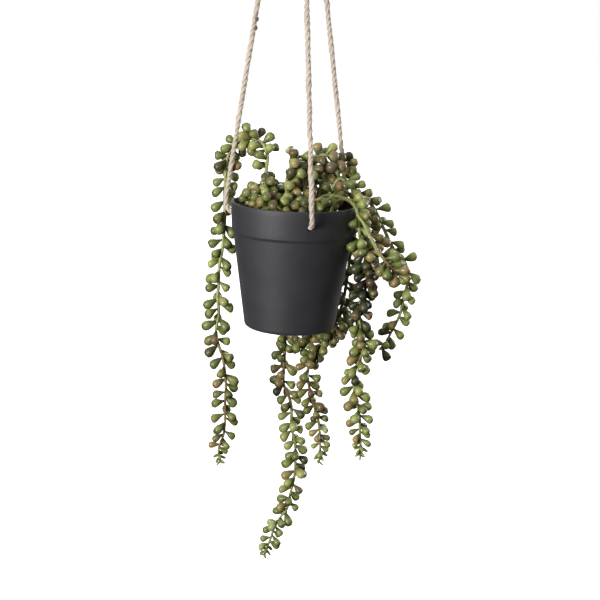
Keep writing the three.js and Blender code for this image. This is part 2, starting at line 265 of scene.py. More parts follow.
# %% Pot measures and frame
HANG_DROP = 430 * MM
POT_X = -5.5 * MM
POT_TILT = np.radians(2.3)
RIM_R = 60 * MM
COLLAR_H = 28.5 * MM
COLLAR_R = 58.4 * MM
BODY_R = 57.2 * MM
BASE_R = 44.1 * MM
POT_H = 120.4 * MM
BASE_EDGE_R = 4 * MM
WALL = 2.5 * MM
FLOOR = 3 * MM
HOLE_R = 3.5 * MM
HOLE_DROP = 14.5 * MM
HOLE_ANGLES = {"front": 15.6, "right": 131, "left": -104.4}  # degrees, front to right
GAP = 0.3 * MM

POT_TURN = np.array(
    [[np.cos(POT_TILT), 0, np.sin(POT_TILT)], [0, 1, 0], [-np.sin(POT_TILT), 0, np.cos(POT_TILT)]]
)
POT_PLACE = np.array([POT_X, 0, -HANG_DROP])


def from_rim(points):
    """Points in millimetres, with their heights above the rim, in the frame of the whole."""
    return np.array(points) * MM - [0, 0, HANG_DROP]


def from_pot(points):
    """Points of the pot's own frame, leant over and moved to where the pot hangs."""
    return np.asarray(points, float) @ POT_TURN.T + POT_PLACE


def to_pot(points):
    """The way back: less the pot's place, then leant back upright."""
    return (np.asarray(points, float) - POT_PLACE) @ POT_TURN


def outer_r(z):
    """Radius of the pot's outside at height z: two cones, the collar and the body."""
    collar = RIM_R + (COLLAR_R - RIM_R) * -z / COLLAR_H
    body = BODY_R + (BASE_R - BODY_R) * (-z - COLLAR_H) / (POT_H - COLLAR_H)
    return np.where(z > -COLLAR_H, collar, body)


def inner_r(z):
    """The inside is one smooth cone."""
    return RIM_R - WALL + (BASE_R - RIM_R) * -z / POT_H


def outward(angle_deg):
    """The level direction at this angle, counted from the front to the right."""
    angle = np.radians(angle_deg)
    return np.array([np.sin(angle), -np.cos(angle), 0])


print("pot leans by", np.degrees(POT_TILT).round(1), "degrees")

# %% [markdown]
# ## The cords
#
# Each cord is jute: three plies twisted round each other, about 4.4 mm thick. It starts at a
# stopper knot inside the pot, leaves through a hole in the collar, bends up and runs straight
# and taut to the gathering knot.
#
# Three separate tubes would cross each other inside. Seen end on, though, three plies have one
# outline with three lobes. Carrying that outline along the line while it turns gives the twist
# as a single closed skin, and its grid follows the grooves, so they stay crisp.

# %% Twisted jute
CORD_R = 2.2 * MM
CORD_STEP = 0.9 * MM
LAY = 20 * MM  # length of one full turn of a ply
PLY_SHARE = 0.61  # a ply's radius, as a share of the cord's
LOBE_SHARE = 1.13
CORD_SIDES = 24
PLY_SWELL = 0.08
PLY_SWELL_L = 9 * MM
CORD_SWELL_L = 34 * MM
TWIST_DRIFT = 6  # radians, for `uneven` of 1
TWIST_DRIFT_L = 32 * MM
WANDER = 3 * MM
WANDER_L = 40 * MM
WAVES = 5
WAVE_LENGTHS = (0.6, 1.6)  # the shortest and the longest, as shares of the one asked for
WAVE_GAIN = 1.6


def wobble(places, wavelength, seed):
    """A smooth random line between about -1 and 1: the mean of a few cosine waves."""
    dice = np.random.default_rng(seed)
    lengths = wavelength * dice.uniform(*WAVE_LENGTHS, WAVES)
    phases = dice.uniform(0, 2 * np.pi, WAVES)
    waves = np.cos(2 * np.pi * np.asarray(places)[..., None] / lengths + phases)
    return WAVE_GAIN * waves.mean(axis=-1)


def ply_outline(angles):
    """Radius of three round plies' common outline, as a share of the cord's radius.

    At an angle a from a ply's middle it is h cos a + sqrt(p² - h² sin² a): p is the ply's
    radius, and h is how far its middle lies from the cord's."""
    offset = 1 - PLY_SHARE
    third = 2 * np.pi / 3
    a = (angles + third / 2) % third - third / 2
    return offset * np.cos(a) + np.sqrt(PLY_SHARE**2 - (offset * np.sin(a)) ** 2)


def twisted_skin(line, side, radius=CORD_R, lay=LAY, uneven=0.0, seed=0):
    """The lobed outline carried along the line, turning once in each lay.

    Each ply swells and thins a little by a wobble of its own, and the lobes stand out by
    LOBE_SHARE, so that the grooved cord is as thick as its round solid on the whole. `uneven`
    is how much the whole cord thickens, thins and wanders by slower wobbles, and how much its
    twist runs faster and slower."""
    _, first, second = directions(line, side)
    walked = np.linspace(0, length_of(line), len(line))[:, None]
    angles = full_turn(CORD_SIDES)[None]
    outline = ply_outline(angles)
    ply = np.floor(angles / (2 * np.pi / 3) + 0.5) % 3
    swell = 1 + PLY_SWELL * wobble(walked + 0.4 * ply, PLY_SWELL_L, seed)
    swell = swell + uneven * wobble(walked, CORD_SWELL_L, seed + 600)
    reach = LOBE_SHARE * radius * outline * swell
    twist_drift = TWIST_DRIFT * uneven * wobble(walked, TWIST_DRIFT_L, seed + 500)
    turn = angles + 2 * np.pi * walked / lay + twist_drift
    drift = uneven * WANDER * wobble(walked, WANDER_L, seed + 700) * first
    across = around(turn[..., None], first[:, None], second[:, None])
    rings = (line + drift)[:, None] + reach[..., None] * across
    low, high = ply_outline(np.array([np.pi / 3, 0]))
    crown = np.repeat((outline - low) / (high - low), len(line), axis=0)
    walked = np.repeat(walked, CORD_SIDES, axis=1)
    fibre = np.stack([reach * np.cos(turn), reach * np.sin(turn), walked], axis=-1)
    values = {"crown": crown[None, ..., None], "fibre": fibre[None]}
    return tube_surface(rings[None], values=values)


groove = LOBE_SHARE * CORD_R * (1 - ply_outline(np.pi / 3))
print("depth of the grooves in mm:", (groove / MM).round(2))

# %% [markdown]
# Jute is hairy. Short fibres stand out of the skin as slim three-sided cones, and dark scraps
# of bark lie on it. They are part of the mesh, because hair curves don't leave Blender with
# the model.

# %% Loose fibres and bark
FIBRES_PER_CORD = 340
FIBRE_R = 0.09 * MM
FIBRE_RISE = 1.9 * MM
FIBRE_RUN = 5 * MM
FIBRE_SEAT = 0.8  # how far out its root lies, as a share of the cord's radius
FIBRE_SWAY = 0.8  # sideways, in mm
FIBRE_TAPER = 0.8
FIBRE_FREE = 4  # points at each end of a line that grow no fibres
BARK_L = 6 * MM
BARK_R = 2 * MM
BARK_OUT = 1.15  # how far out a scrap of bark lies, as a share of the cord's radius


def loose_fibres(line, side, count, seed):
    """Slim curved cones that leave the skin at a low angle, some up and some down the cord."""
    dice = np.random.default_rng(seed)
    along, first, second = directions(line, side)
    start = dice.integers(FIBRE_FREE, len(line) - FIBRE_FREE, count)
    turn = dice.uniform(0, 2 * np.pi, count)
    out = around(turn[:, None], first[start], second[start])
    run = FIBRE_RUN * dice.uniform(0.3, 1, count) * dice.choice([-1, 1], count)
    rise = FIBRE_RISE * dice.uniform(0.25, 1, count)
    sway = np.cross(along[start], out) * (MM * dice.normal(0, FIBRE_SWAY, count))[:, None]
    u = np.linspace(0, 1, 5)[:, None, None]
    middle = line[start] + out * FIBRE_SEAT * CORD_R + u * run[:, None] * along[start]
    middle = middle + u**1.6 * rise[:, None] * out + u**2 * sway
    middle = middle.transpose(1, 0, 2)
    corner = np.radians([0, 120, 240])[:, None]
    ring = around(corner, out[:, None], np.cross(along[start], out)[:, None])
    runs_on = run[:, None, None] > 0
    ring = np.where(runs_on, ring, -ring[:, ::-1])
    thickness = FIBRE_R * (1 - FIBRE_TAPER * u.transpose(1, 0, 2))[..., None]
    rings = middle[:, :, None] + thickness * ring[:, None]
    crown = np.ones((*rings.shape[:3], 1))
    fibre = rings - rings[:, :1, :1] + dice.uniform(0, 1, (count, 1, 1, 3))
    return tube_surface(rings, values={"crown": crown, "fibre": fibre})


def bark_bits(line, side, places, turns):
    """Dark scraps of bark that were spun in: short lens shapes that lie on the skin.

    `places` are distances along the line, in metres, and `turns` angles round it. A lens's
    radius goes with the sine of the way along it."""
    along, first, second = directions(line, side)
    k = point_at(line, places)
    out = around(np.radians(turns)[:, None], first[k], second[k])
    u = np.linspace(0.1, 0.9, 5)
    on_skin = line[k] + out * BARK_OUT * CORD_R
    middle = on_skin[:, None] + (u - 0.5)[:, None] * BARK_L * along[k][:, None]
    ring = around(full_turn(6)[:, None], out[:, None], np.cross(along[k], out)[:, None])
    rings = middle[:, :, None] + BARK_R * np.sin(np.pi * u)[:, None, None] * ring[:, None]
    crown = np.full((*rings.shape[:3], 1), -1.0)
    return tube_surface(rings, values={"crown": crown, "fibre": rings})


print("fibres on each cord:", FIBRES_PER_CORD)

# %% [markdown]
# The weight of the pot pulls each cord up against the upper edge of its hole. A limp cord may
# bend as tightly as twice its thickness, so it turns up close to the wall. Its upper end runs
# on inside the gathering knot, where it isn't seen. The scraps of bark are placed one by one.

# %% Routes of the three cords
BEND_R = 9 * MM
BEND_DEGS = (0, 25, 50, 75)
BEND_SHARES = (0, 0.2, 0.5, 0.8)  # of the side step, at each point of the bend
STRAIGHT_SHARES = np.array([0, 0.04, 0.12, 0.3, 0.5, 0.7, 0.85, 0.95, 1])[:, None]  # of its length
LIFT = 0.8 * MM  # in its hole
SUNK = 0.4 * MM  # the bend starts this far inside the wall's face
FOOT_HEIGHT = 2 * MM  # above the rim, where the straight part starts
FOOT_OUT = 0.99  # how far out it starts, as a share of the bend's radius
KNOT_HEIGHT = HANG_DROP - 40 * MM
KNOT_HALF_H = 9 * MM
GATHER_R = 4.2 * MM
KNOT_DEPTH = 4 * MM  # how far cord ends run on inside the gathering knot
SIDE_STEP = {"front": 2.2 * MM, "right": 0, "left": 0}
STOPPER_R = 4.9 * MM
STOPPER_PLAY = 0.2 * MM
BARK = {  # distances along each cord in metres, and angles round it
    "front": ([0.236], [60]),
    "right": ([0.31], [200]),
    "left": ([0.184, 0.1918], [250, 240]),
}


def stopper_distance():
    """How far a stopper knot sits from the pot's axis: it bears on the edge of its hole."""
    into_hole = np.sqrt(STOPPER_R**2 - HOLE_R**2)
    return inner_r(-HOLE_DROP) - into_hole - GAP - STOPPER_PLAY


def across_of(angle_deg):
    """Level and square to a cord's plane, so that its frames never flip."""
    return np.cross(outward(angle_deg), [0, 0, 1])


def cord_route(angle_deg, side_step=0.0):
    """Out of the hole, round a quarter bend, then straight up to the gathering knot.

    A side step moves the foot of the straight part to its left, and fades towards the knot."""
    direction = outward(angle_deg)
    bend_from = outer_r(-HOLE_DROP) - SUNK
    bend_z = -HOLE_DROP + LIFT

    def place(r, z, aside):
        return from_pot(direction * r + aside * across_of(angle_deg) + [0, 0, z])

    bend = []
    for turn, share in zip(np.radians(BEND_DEGS), BEND_SHARES):
        out, up = BEND_R * np.sin(turn), BEND_R * (1 - np.cos(turn))
        bend.append(place(bend_from + out, bend_z + up, side_step * share))
    foot = place(bend_from + FOOT_OUT * BEND_R, FOOT_HEIGHT, side_step)
    top = direction * GATHER_R + [0, 0, KNOT_HEIGHT - HANG_DROP - KNOT_HALF_H + KNOT_DEPTH]
    start = place(stopper_distance() + STOPPER_R + GAP, -HOLE_DROP, 0)
    return np.vstack([start, *bend, foot + STRAIGHT_SHARES * (top - foot)])


cord_lines = {
    name: smooth_line(cord_route(angle, SIDE_STEP[name]), CORD_STEP)
    for name, angle in HOLE_ANGLES.items()
}
cords = {}
for number, (name, line) in enumerate(cord_lines.items()):
    side = across_of(HOLE_ANGLES[name])
    skin = twisted_skin(line, side, uneven=0.12, seed=number)
    fibres = loose_fibres(line, side, FIBRES_PER_CORD, seed=10 + number)
    bark = bark_bits(line, side, *BARK[name])
    cord = make_piece(f"jute_cord_{name}", joined([skin, fibres, bark]))
    cords[name] = stand_for(cord, "cord", f"cord_{name}")
    print(f"cord {name}: {length_of(line):.3f} m")

# %% [markdown]
# ## Knots and loop
#
# A knot on each cord's end, inside the pot, keeps it from slipping out. It is an overhand
# knot, pulled tight. Its middle line is a trefoil, the simplest closed knot: while the line
# goes twice round, it swings in and out and up and down three times.
#
# Above the pot the three cords and the two feet of the loop meet in a whipping: the same jute
# wound round them in close turns. The middle line is a helix that dives in at both ends, and a
# plain core fills the inside. The loop is a drop-shaped bow of the same cord.

# %% Knots and loop
TREFOIL_SIZE = 1.1 * MM
STOPPER_CORD_R = 1.5 * MM
STOPPER_LAY = 9 * MM
STOPPER_STEP = 0.7 * MM
WHIP_TURNS = 3.2
WHIP_R = 5.75 * MM
WHIP_STEP = 1 * MM
WHIP_TUCK = 0.05  # share of the helix that tucks in, at each end
WHIP_TUCKED_R = 0.35  # radius where it ends, as a share of WHIP_R
WHIP_H_SHARE = 0.97
CORE_R = 5.4 * MM
END_FIBRES = 60
LOOP_HALF_WIDTH = 11.5 * MM
LOOP_FOOT = 3.4 * MM


def stopper_skin(angle_deg, seed):
    """A trefoil line, its axis along the cord, clothed in twisted jute."""
    t = np.linspace(0, 2 * np.pi, 72)
    level = np.sin(t) + 2 * np.sin(2 * t)
    upright = np.cos(t) - 2 * np.cos(2 * t)
    depth = -1.2 * np.sin(3 * t)
    axis = outward(angle_deg)
    sideways = across_of(angle_deg)
    knot = level[:, None] * sideways + upright[:, None] * [0, 0, 1] + depth[:, None] * axis
    middle = axis * stopper_distance() - [0, 0, HOLE_DROP]
    line = even_line(from_pot(middle + TREFOIL_SIZE * knot), STOPPER_STEP)
    return twisted_skin(line, axis, STOPPER_CORD_R, STOPPER_LAY, seed=seed)


def whipping_line():
    """A helix round z whose radius falls to WHIP_TUCKED_R of it where both ends tuck in."""
    u = np.linspace(0, 1, 160)
    turn = 2 * np.pi * WHIP_TURNS * u
    tuck = np.clip(np.minimum(u, 1 - u) / WHIP_TUCK, 0, 1)
    r = WHIP_R * (WHIP_TUCKED_R + (1 - WHIP_TUCKED_R) * tuck * tuck * (3 - 2 * tuck))
    z = KNOT_HEIGHT - HANG_DROP + (KNOT_HALF_H - CORD_R) * (2 * u - 1) * WHIP_H_SHARE
    return even_line(np.stack([r * np.cos(turn), r * np.sin(turn), z], axis=1), WHIP_STEP)


def knot_core():
    """The bundle inside the whipping: a slim egg round z."""
    a = np.linspace(0.12, np.pi - 0.12, 14)[:, None]
    r = CORE_R * np.sin(a) ** 0.6
    z = KNOT_HEIGHT - HANG_DROP - (KNOT_HALF_H - 0.6 * MM) * np.cos(a)
    rings = turned(np.hstack([r, z]), CORD_SIDES)
    # Painted shade, in part: the core lies between the whipping's turns and takes some of the grooves'
    # painted shade.
    crown = np.full((*rings.shape[:3], 1), 0.25)
    return tube_surface(rings, values={"crown": crown, "fibre": rings})


def loop_route():
    """Half a drop from foot to top, and its mirror image back down."""
    bottom = KNOT_HEIGHT + KNOT_HALF_H
    top = HANG_DROP + CORD_R
    shoulder = top - LOOP_HALF_WIDTH
    half = [
        [-LOOP_FOOT, 0, bottom - KNOT_DEPTH],
        [-LOOP_FOOT * 1.2, 0, bottom + 4 * MM],
        [-LOOP_HALF_WIDTH * 0.75, 0, bottom + 11 * MM],
        [-LOOP_HALF_WIDTH, 0, shoulder - 4 * MM],
        [-LOOP_HALF_WIDTH * 0.72, 0, top - LOOP_HALF_WIDTH * 0.32],
    ]
    mirrored = np.array(half[::-1]) * [-1, 1, 1]
    return np.vstack([half, [0, 0, top], mirrored]) - [0, 0, HANG_DROP]


def hairy_skins(line, side, seed):
    """Twisted jute and the fibres that stand out of it."""
    skin = twisted_skin(line, side, seed=seed)
    return [skin, loose_fibres(line, side, END_FIBRES, seed=seed + 1)]


stoppers = {}
for number, (name, angle) in enumerate(HOLE_ANGLES.items()):
    stopper = make_piece(f"jute_stopper_{name}", stopper_skin(angle, seed=20 + number))
    stoppers[name] = stand_for(stopper, "cord", f"stopper_knot_{name}")

whip_skins = hairy_skins(whipping_line(), (0, 0, 1), seed=30)
gathering_knot = make_piece("jute_gathering_knot", joined([*whip_skins, knot_core()]))
stand_for(gathering_knot, "cord", "gathering_knot")

loop_line = smooth_line(loop_route(), CORD_STEP)
loop_skins = hairy_skins(loop_line, (0, 1, 0), seed=32)
hanging_loop = make_piece("jute_hanging_loop", joined(loop_skins))
stand_for(hanging_loop, "cord", "hanging_loop")
print(f"loop: {length_of(loop_line):.3f} m of cord")

# %% [markdown]
# A tube is only a shape. Here the pieces on each cord are listed: its stopper knot, and on the front cord
# also the gathering knot and the loop.

# %% The pieces on each cord
for name, line in cord_lines.items():
    pieces_on_it = [stoppers[name]]
    if name == "front":
        pieces_on_it += [gathering_knot, hanging_loop]

# %% [markdown]
# ## The pot
#
# The pot is a moulded shell: a tapered body under a slightly wider collar. A potter or a mould
# maker would draw half of its section and turn it round an axis, and so does this cell. The
# section runs from the middle of the underside, up the outside, over the rounded rim, and down
# the inside, so the turned surface is closed. Three drills then cut the cord holes; each
# drill widens at the outside, which leaves a soft edge.

# %% Pot
POT_SIDES = 192
ARC_CUTS = 6
RIM_ROUND = 1 * MM
STEP_LOW = -COLLAR_H - 1.6 * MM
STEP_HIGH = -COLLAR_H + 2 * MM
INNERMOST = 1 * MM  # where the section starts and ends, next to the axis
DRILL_REACH = MM * np.array([-14, -1.6, -0.5, 0.1, 8])  # from the wall outwards
DRILL_WIDER = MM * np.array([0, 0, 0.08, 0.45, 0.45])
DRILL_SIDES = 40
SHARP_DEG = 35


def arc(centre_r, centre_z, r, from_deg, to_deg):
    """Points of a round corner in the section, from one direction to another."""
    turn = np.radians(np.linspace(from_deg, to_deg, ARC_CUTS))
    return np.stack([centre_r + r * np.cos(turn), centre_z + r * np.sin(turn)], axis=1)


def straight(start, end, cuts):
    """Points between two corners, so that long walls are cut into even bands."""
    shares = np.linspace(0, 1, cuts + 2)[1:-1, None]
    return np.asarray(start) + shares * (np.asarray(end) - np.asarray(start))


def soft_step():
    """The collar's lower edge: an S-shaped slope from the body's radius to the collar's."""
    u = np.linspace(0, 1, 9)
    low, high = outer_r(STEP_LOW), outer_r(STEP_HIGH)
    r = low + (high - low) * u * u * (3 - 2 * u)
    return np.stack([r, STEP_LOW + (STEP_HIGH - STEP_LOW) * u], axis=1)


def pot_section():
    """Half of the pot's section: underside, outside, rim, inside and floor."""
    foot = arc(BASE_R - BASE_EDGE_R, -POT_H + BASE_EDGE_R, BASE_EDGE_R, -90, 0)
    step = soft_step()
    rim = arc(RIM_R - RIM_ROUND, -RIM_ROUND, RIM_ROUND, 0, 90)
    lip = arc(RIM_R - WALL + RIM_ROUND, -RIM_ROUND, RIM_ROUND, 90, 180)
    floor_z = -POT_H + FLOOR
    underside = [INNERMOST, -POT_H]
    corner = [inner_r(floor_z), floor_z]
    return np.vstack(
        [
            underside, straight(underside, foot[0], 3),
            foot, straight(foot[-1], step[0], 10),
            step, straight(step[-1], rim[0], 4),
            rim, lip, straight(lip[-1], corner, 12),
            corner, [INNERMOST, floor_z],
        ]
    )


def drill(angle_deg):
    """A round bar that widens where it leaves the wall."""
    axis = outward(angle_deg)
    reach = DRILL_REACH[:, None, None] + outer_r(-HOLE_DROP)
    r = HOLE_R + DRILL_WIDER[:, None, None]
    up = np.array([0, 0, 1])
    ring = around(full_turn(DRILL_SIDES)[None, :, None], up, np.cross(axis, up))
    rings = axis * reach + r * ring - [0, 0, HOLE_DROP]
    return make_piece(f"drill_{angle_deg}", tube_surface(from_pot(rings)[None]))


def cut(piece, tools):
    """Cuts the tools out of the piece, keeps the result as its mesh and removes the tools."""
    for tool in tools:
        modifier = piece.modifiers.new("cut", "BOOLEAN")
        modifier.object = tool
        modifier.solver = "EXACT"
    seen = piece.evaluated_get(bpy.context.evaluated_depsgraph_get())
    finished = bpy.data.meshes.new_from_object(seen)
    piece.modifiers.clear()
    piece.data = finished
    for tool in tools:
        bpy.data.objects.remove(tool)


pot = make_piece("pot_shell", tube_surface(from_pot(turned(pot_section(), POT_SIDES))))
cut(pot, [drill(angle) for angle in HOLE_ANGLES.values()])
pot.data.set_sharp_from_angle(angle=np.radians(SHARP_DEG))
stand_for(pot, "pot", "pot")
print("pot faces:", len(pot.data.polygons))

# %% [markdown]
# ## The soil
#
# The soil is heaped a little in the middle, and crumbs lie on it. The surface is turned like
# the pot's, but its top rings rise and fall with a sum of short waves in random directions,
# which has no seam and no grid. The crumbs are loose lumps: small tubes of three rings whose
# points are pushed in and out at random.

# %% Soil
SOIL_CROWN = -15 * MM
SOIL_EDGE = -21 * MM
SOIL_SIDES = 96
LUMP_H = 0.9 * MM
LUMP_L = 7 * MM
LUMP_WAVES = 24
LUMP_LENGTHS = (0.6, 1.8)  # the shortest and the longest, as shares of the usual one
CRUMBS = 420
CRUMB_SIDES = 6
CRUMB_SIZES = (0.5, 1.7)  # radii in mm
CRUMB_ROUGH = (0.7, 1.2)
CRUMBS_OFF_WALL = 3 * MM


def soil_top(r):
    """Falls from the middle to the edge with the square of the distance."""
    share = np.minimum(1, r / inner_r(SOIL_EDGE))
    return SOIL_CROWN + (SOIL_EDGE - SOIL_CROWN) * share**2


def lumps(points, size, wavelength, seed):
    """A rolling height over x and y: the mean of many cosine waves in random directions."""
    dice = np.random.default_rng(seed)
    heading = dice.uniform(0, 2 * np.pi, LUMP_WAVES)
    stretch = 2 * np.pi / (wavelength * dice.uniform(*LUMP_LENGTHS, LUMP_WAVES))
    waves = stretch * np.stack([np.cos(heading), np.sin(heading)])
    phases = dice.uniform(0, 2 * np.pi, LUMP_WAVES)
    return size * 2 * np.cos(points[..., :2] @ waves + phases).mean(axis=-1)


def soil_skin():
    """The plug of soil: a flat bottom, sides along the pot's wall and a lumpy top."""
    bottom = -POT_H + FLOOR + GAP
    top_r = np.linspace(inner_r(SOIL_EDGE) - GAP, INNERMOST, 40)
    top = np.stack([top_r, soil_top(top_r)], axis=1)
    base = [[INNERMOST, bottom], [inner_r(bottom) - GAP, bottom]]
    rings = turned(np.vstack([base, top]), SOIL_SIDES)
    fade = np.append(np.zeros(3), np.ones(len(top) - 1))[:, None]
    rings[0, ..., 2] += fade * lumps(rings[0], LUMP_H, LUMP_L, seed=40)
    return tube_surface(from_pot(rings))


def crumbs():
    """Rough balls of three rings each, strewn evenly over the top."""
    dice = np.random.default_rng(41)
    r = (inner_r(SOIL_EDGE) - CRUMBS_OFF_WALL) * np.sqrt(dice.uniform(0, 1, CRUMBS))
    turn = dice.uniform(0, 2 * np.pi, CRUMBS)
    middle = np.stack([r * np.cos(turn), r * np.sin(turn), soil_top(r)], axis=1)
    size = MM * dice.uniform(*CRUMB_SIZES, CRUMBS)[:, None, None, None]
    level = np.radians([40, 90, 140])
    ball = turned(np.stack([np.sin(level), -np.cos(level)], axis=1), CRUMB_SIDES)
    rough = dice.uniform(*CRUMB_ROUGH, (CRUMBS, len(level), CRUMB_SIDES, 1))
    return tube_surface(from_pot(middle[:, None, None] + size * rough * ball))


soil = make_piece("potting_soil", joined([soil_skin(), crumbs()]))
stand_for(soil, "soil", "soil")
print("crumbs of soil:", CRUMBS)

# %% [markdown]
# ## Pearls: rule and room
#
# A pearl is a leaf in the shape of a drop: a narrow root widens into a ball. The pearls wind
# round the stem by the golden angle, as leaves do, which keeps each clear of the last ones.
# They stand out level and droop a little towards the stem's tip, and each differs somewhat in
# size and tint.
#
# Where a stem bends, crosses another or passes the pot, two pearls could want the same room.
# So each new pearl is tried against the room already taken, kept as a list of balls. If it
# doesn't fit, it turns on round the stem, and after a few tries it is left out.

# %% Room
GOLDEN_ANGLE = np.pi * (3 - np.sqrt(5))
PRESS = 0.7 * MM  # soft leaves may press into each other this far
POT_CLEAR = 0.3 * MM

taken = {"centres": np.empty((0, 3)), "radii": np.empty(0), "owners": [], "soft": []}


def take(centres, radius, owner, is_leaf=False):
    """Adds balls to the room that is taken; one radius serves all, or each has its own."""
    count = len(centres)
    taken["centres"] = np.vstack([taken["centres"], centres])
    taken["radii"] = np.append(taken["radii"], np.broadcast_to(radius, count))
    taken["owners"] += [owner] * count
    taken["soft"] += [is_leaf] * count


def pot_gap(centres, radii):
    """Gap between balls and the pot, or the soil where a ball is inside the pot."""
    local = to_pot(centres)
    away = np.hypot(local[:, 0], local[:, 1])
    z = np.clip(local[:, 2], -POT_H, 0)
    outside = away - outer_r(z)
    inside = inner_r(z) - away
    sideways = np.maximum(0, np.maximum(outside, inside))
    above = np.maximum(0, local[:, 2])
    below = np.maximum(0, -POT_H - local[:, 2])
    wall_gap = np.sqrt(sideways**2 + above**2 + below**2)
    soil_gap = np.where((inside > 0) & (below == 0), local[:, 2] - soil_top(away), np.inf)
    return np.minimum(wall_gap, soil_gap) - radii


def fits(centres, radii, owner):
    """True if the leaf's balls are clear of the pot and of all that is taken.

    A leaf is rooted in its own stem, so only its round end is tried against its own strand's
    other leaves."""
    if (pot_gap(centres, radii) < POT_CLEAR).any():
        return False
    gaps = np.linalg.norm(taken["centres"] - centres[:, None], axis=2)
    gaps = gaps - taken["radii"] - radii[:, None]
    own = np.array([name == owner for name in taken["owners"]])
    leaf = np.array(taken["soft"])
    own_gaps = gaps[-1][own & leaf]
    other_gaps = gaps[:, ~own]
    return (own_gaps > -PRESS).all() and (other_gaps > -PRESS).all()


for line in cord_lines.values():
    take(line[::3], CORD_R, "cord")
print("balls along the cords:", len(taken["radii"]))

# %% [markdown]
# A clay modeller would roll a bead and draw out one side to a point, more on some than on
# others. The same is done here by one formula whose power differs from leaf to leaf, so some
# pearls are plump drops and some long cones. All the leaves of a stem are made at once.

# %% Pearl shape
PEARL_L = 13.9 * MM
PEARL_R = 4.55 * MM
PEARL_RINGS = 6
PEARL_SIDES = 10
PEARL_POWERS = (1.15, 2.1)  # from plump drops to long cones
BUD_POWER = 0.5
NECK_R = 0.9 * MM
STEEP = 0.8  # height of a direction from which its rings are set out by x instead of z


def drops(root, direction, length, radius, sag, power, neck_r, values):
    """Drop-shaped leaves, one for each row of `root`.

    At a share s of the way from root to tip the radius goes with s to a power, times the
    square root of 1 - s: the root makes the tip round, and with a power of 0.5 the shape is an
    egg, while a larger one draws it out into a cone. A neck that fades with (1 - s)² is added.
    The middle line bends by `sag`, which grows with the square of the distance."""
    share = (1 - np.cos(np.linspace(0, np.pi, PEARL_RINGS + 2)[1:-1])) / 2
    power = power[:, None]
    widest = power / (power + 0.5)
    profile = (share / widest) ** power * np.sqrt((1 - share) / (1 - widest))
    neck = neck_r * (1 - share) ** 2
    is_steep = np.abs(direction[:, 2:]) > STEEP
    helper = np.where(is_steep, [[1.0, 0, 0]], [[0, 0, 1.0]])
    first = unit(np.cross(direction, helper))
    second = np.cross(direction, first)
    ring = around(full_turn(PEARL_SIDES)[:, None], first[:, None], second[:, None])

    def middle(shares):
        shares = shares[None, :, None]
        straight_line = root[:, None] + shares * (length[:, None] * direction)[:, None]
        return straight_line + shares**2 * sag[:, None]

    reach = (profile * radius[:, None] + neck)[..., None, None]
    rings = middle(share)[:, :, None] + reach * ring[:, None]
    ends = middle(np.array([0.0, 1.0]))
    shape = (len(root), PEARL_RINGS, PEARL_SIDES, 1)
    per_leaf = {name: np.broadcast_to(v[:, None, None, None], shape) for name, v in values.items()}
    along = np.broadcast_to(share[None, :, None, None], shape)
    return tube_surface(rings, ends, {"along": along, **per_leaf})


print("a full pearl in mm:", round(PEARL_L / MM, 1), "long,", round(2 * PEARL_R / MM, 1), "wide")

# %% [markdown]
# ## Stems
#
# A stem is a thin tube that tapers to its tip, swells and thins a little, and is green in some
# places and brown in others. Its first points stand in the soil, and the rest follow its route,
# a list of points in millimetres: x, y and the height above the rim. Side shoots are made in
# the same way, but they start on their stem.

# %% Stem
STEM_R = 1.75 * MM
STEM_SIDES = 8
STEM_STEP = 1.5 * MM
STEM_THINNING = 0.35  # share of the radius that is lost at the tip
STEM_SWELL = 0.14
STEM_SWELL_L = 5 * MM
STEM_PATCHES = 0.45  # how much its green comes and goes
STEM_PATCH_L = 30 * MM
STEM_RED = 0.8  # blush where the stem isn't green at all
ROOT_DEPTH = 12.5 * MM


def stem_line(root, route):
    """Up through the soil, then along the route."""
    x, y = np.array(root) * MM
    top = soil_top(np.hypot(x, y))
    foot = from_pot([[x, y, top + rise] for rise in (-ROOT_DEPTH, -4 * MM, 2 * MM)])
    return smooth_line(np.vstack([foot, from_rim(route)]), STEM_STEP)


def shoot_lines(strand):
    """Side shoots: thin branches that leave the stem, each along a route of its own."""
    return [smooth_line(from_rim(route), STEM_STEP) for route in strand["shoots"]]


def stem_skin(line, side, radius, green, seed):
    """A tube that thins from root to tip, swollen a little by a short wobble.

    `green` says how green it is along the line, from 0, brown, to 1."""
    _, first, second = directions(line, side)
    walked = np.linspace(0, length_of(line), len(line))
    thinning = 1 - STEM_THINNING * (walked / walked[-1]) ** 3
    r = radius * thinning * (1 + STEM_SWELL * wobble(walked, STEM_SWELL_L, seed))
    ring = around(full_turn(STEM_SIDES)[None, :, None], first[:, None], second[:, None])
    rings = (line[:, None] + r[:, None, None] * ring)[None]
    level = np.clip(green + STEM_PATCHES * wobble(walked, STEM_PATCH_L, seed + 1), 0, 1)
    level = np.broadcast_to(level[None, :, None, None], (*rings.shape[:3], 1))
    values = {"along": 0 * level, "tint": level, "blush": STEM_RED * (1 - level)}
    return tube_surface(rings, values=values)


print("stem radius in mm, root and tip:", np.round([STEM_R / MM, STEM_R * (1 - STEM_THINNING) / MM], 2))

# %% [markdown]
# Pearls grow where the rule puts them, one after the other, from the foot of the stem to its
# tip. The last ones before the buds are young, so they are smaller, slimmer and closer together.
# Where pearls are crowded, there are twice as many, and they turn less towards the viewer.
# A pearl is tried as three balls, from its neck to its round end.

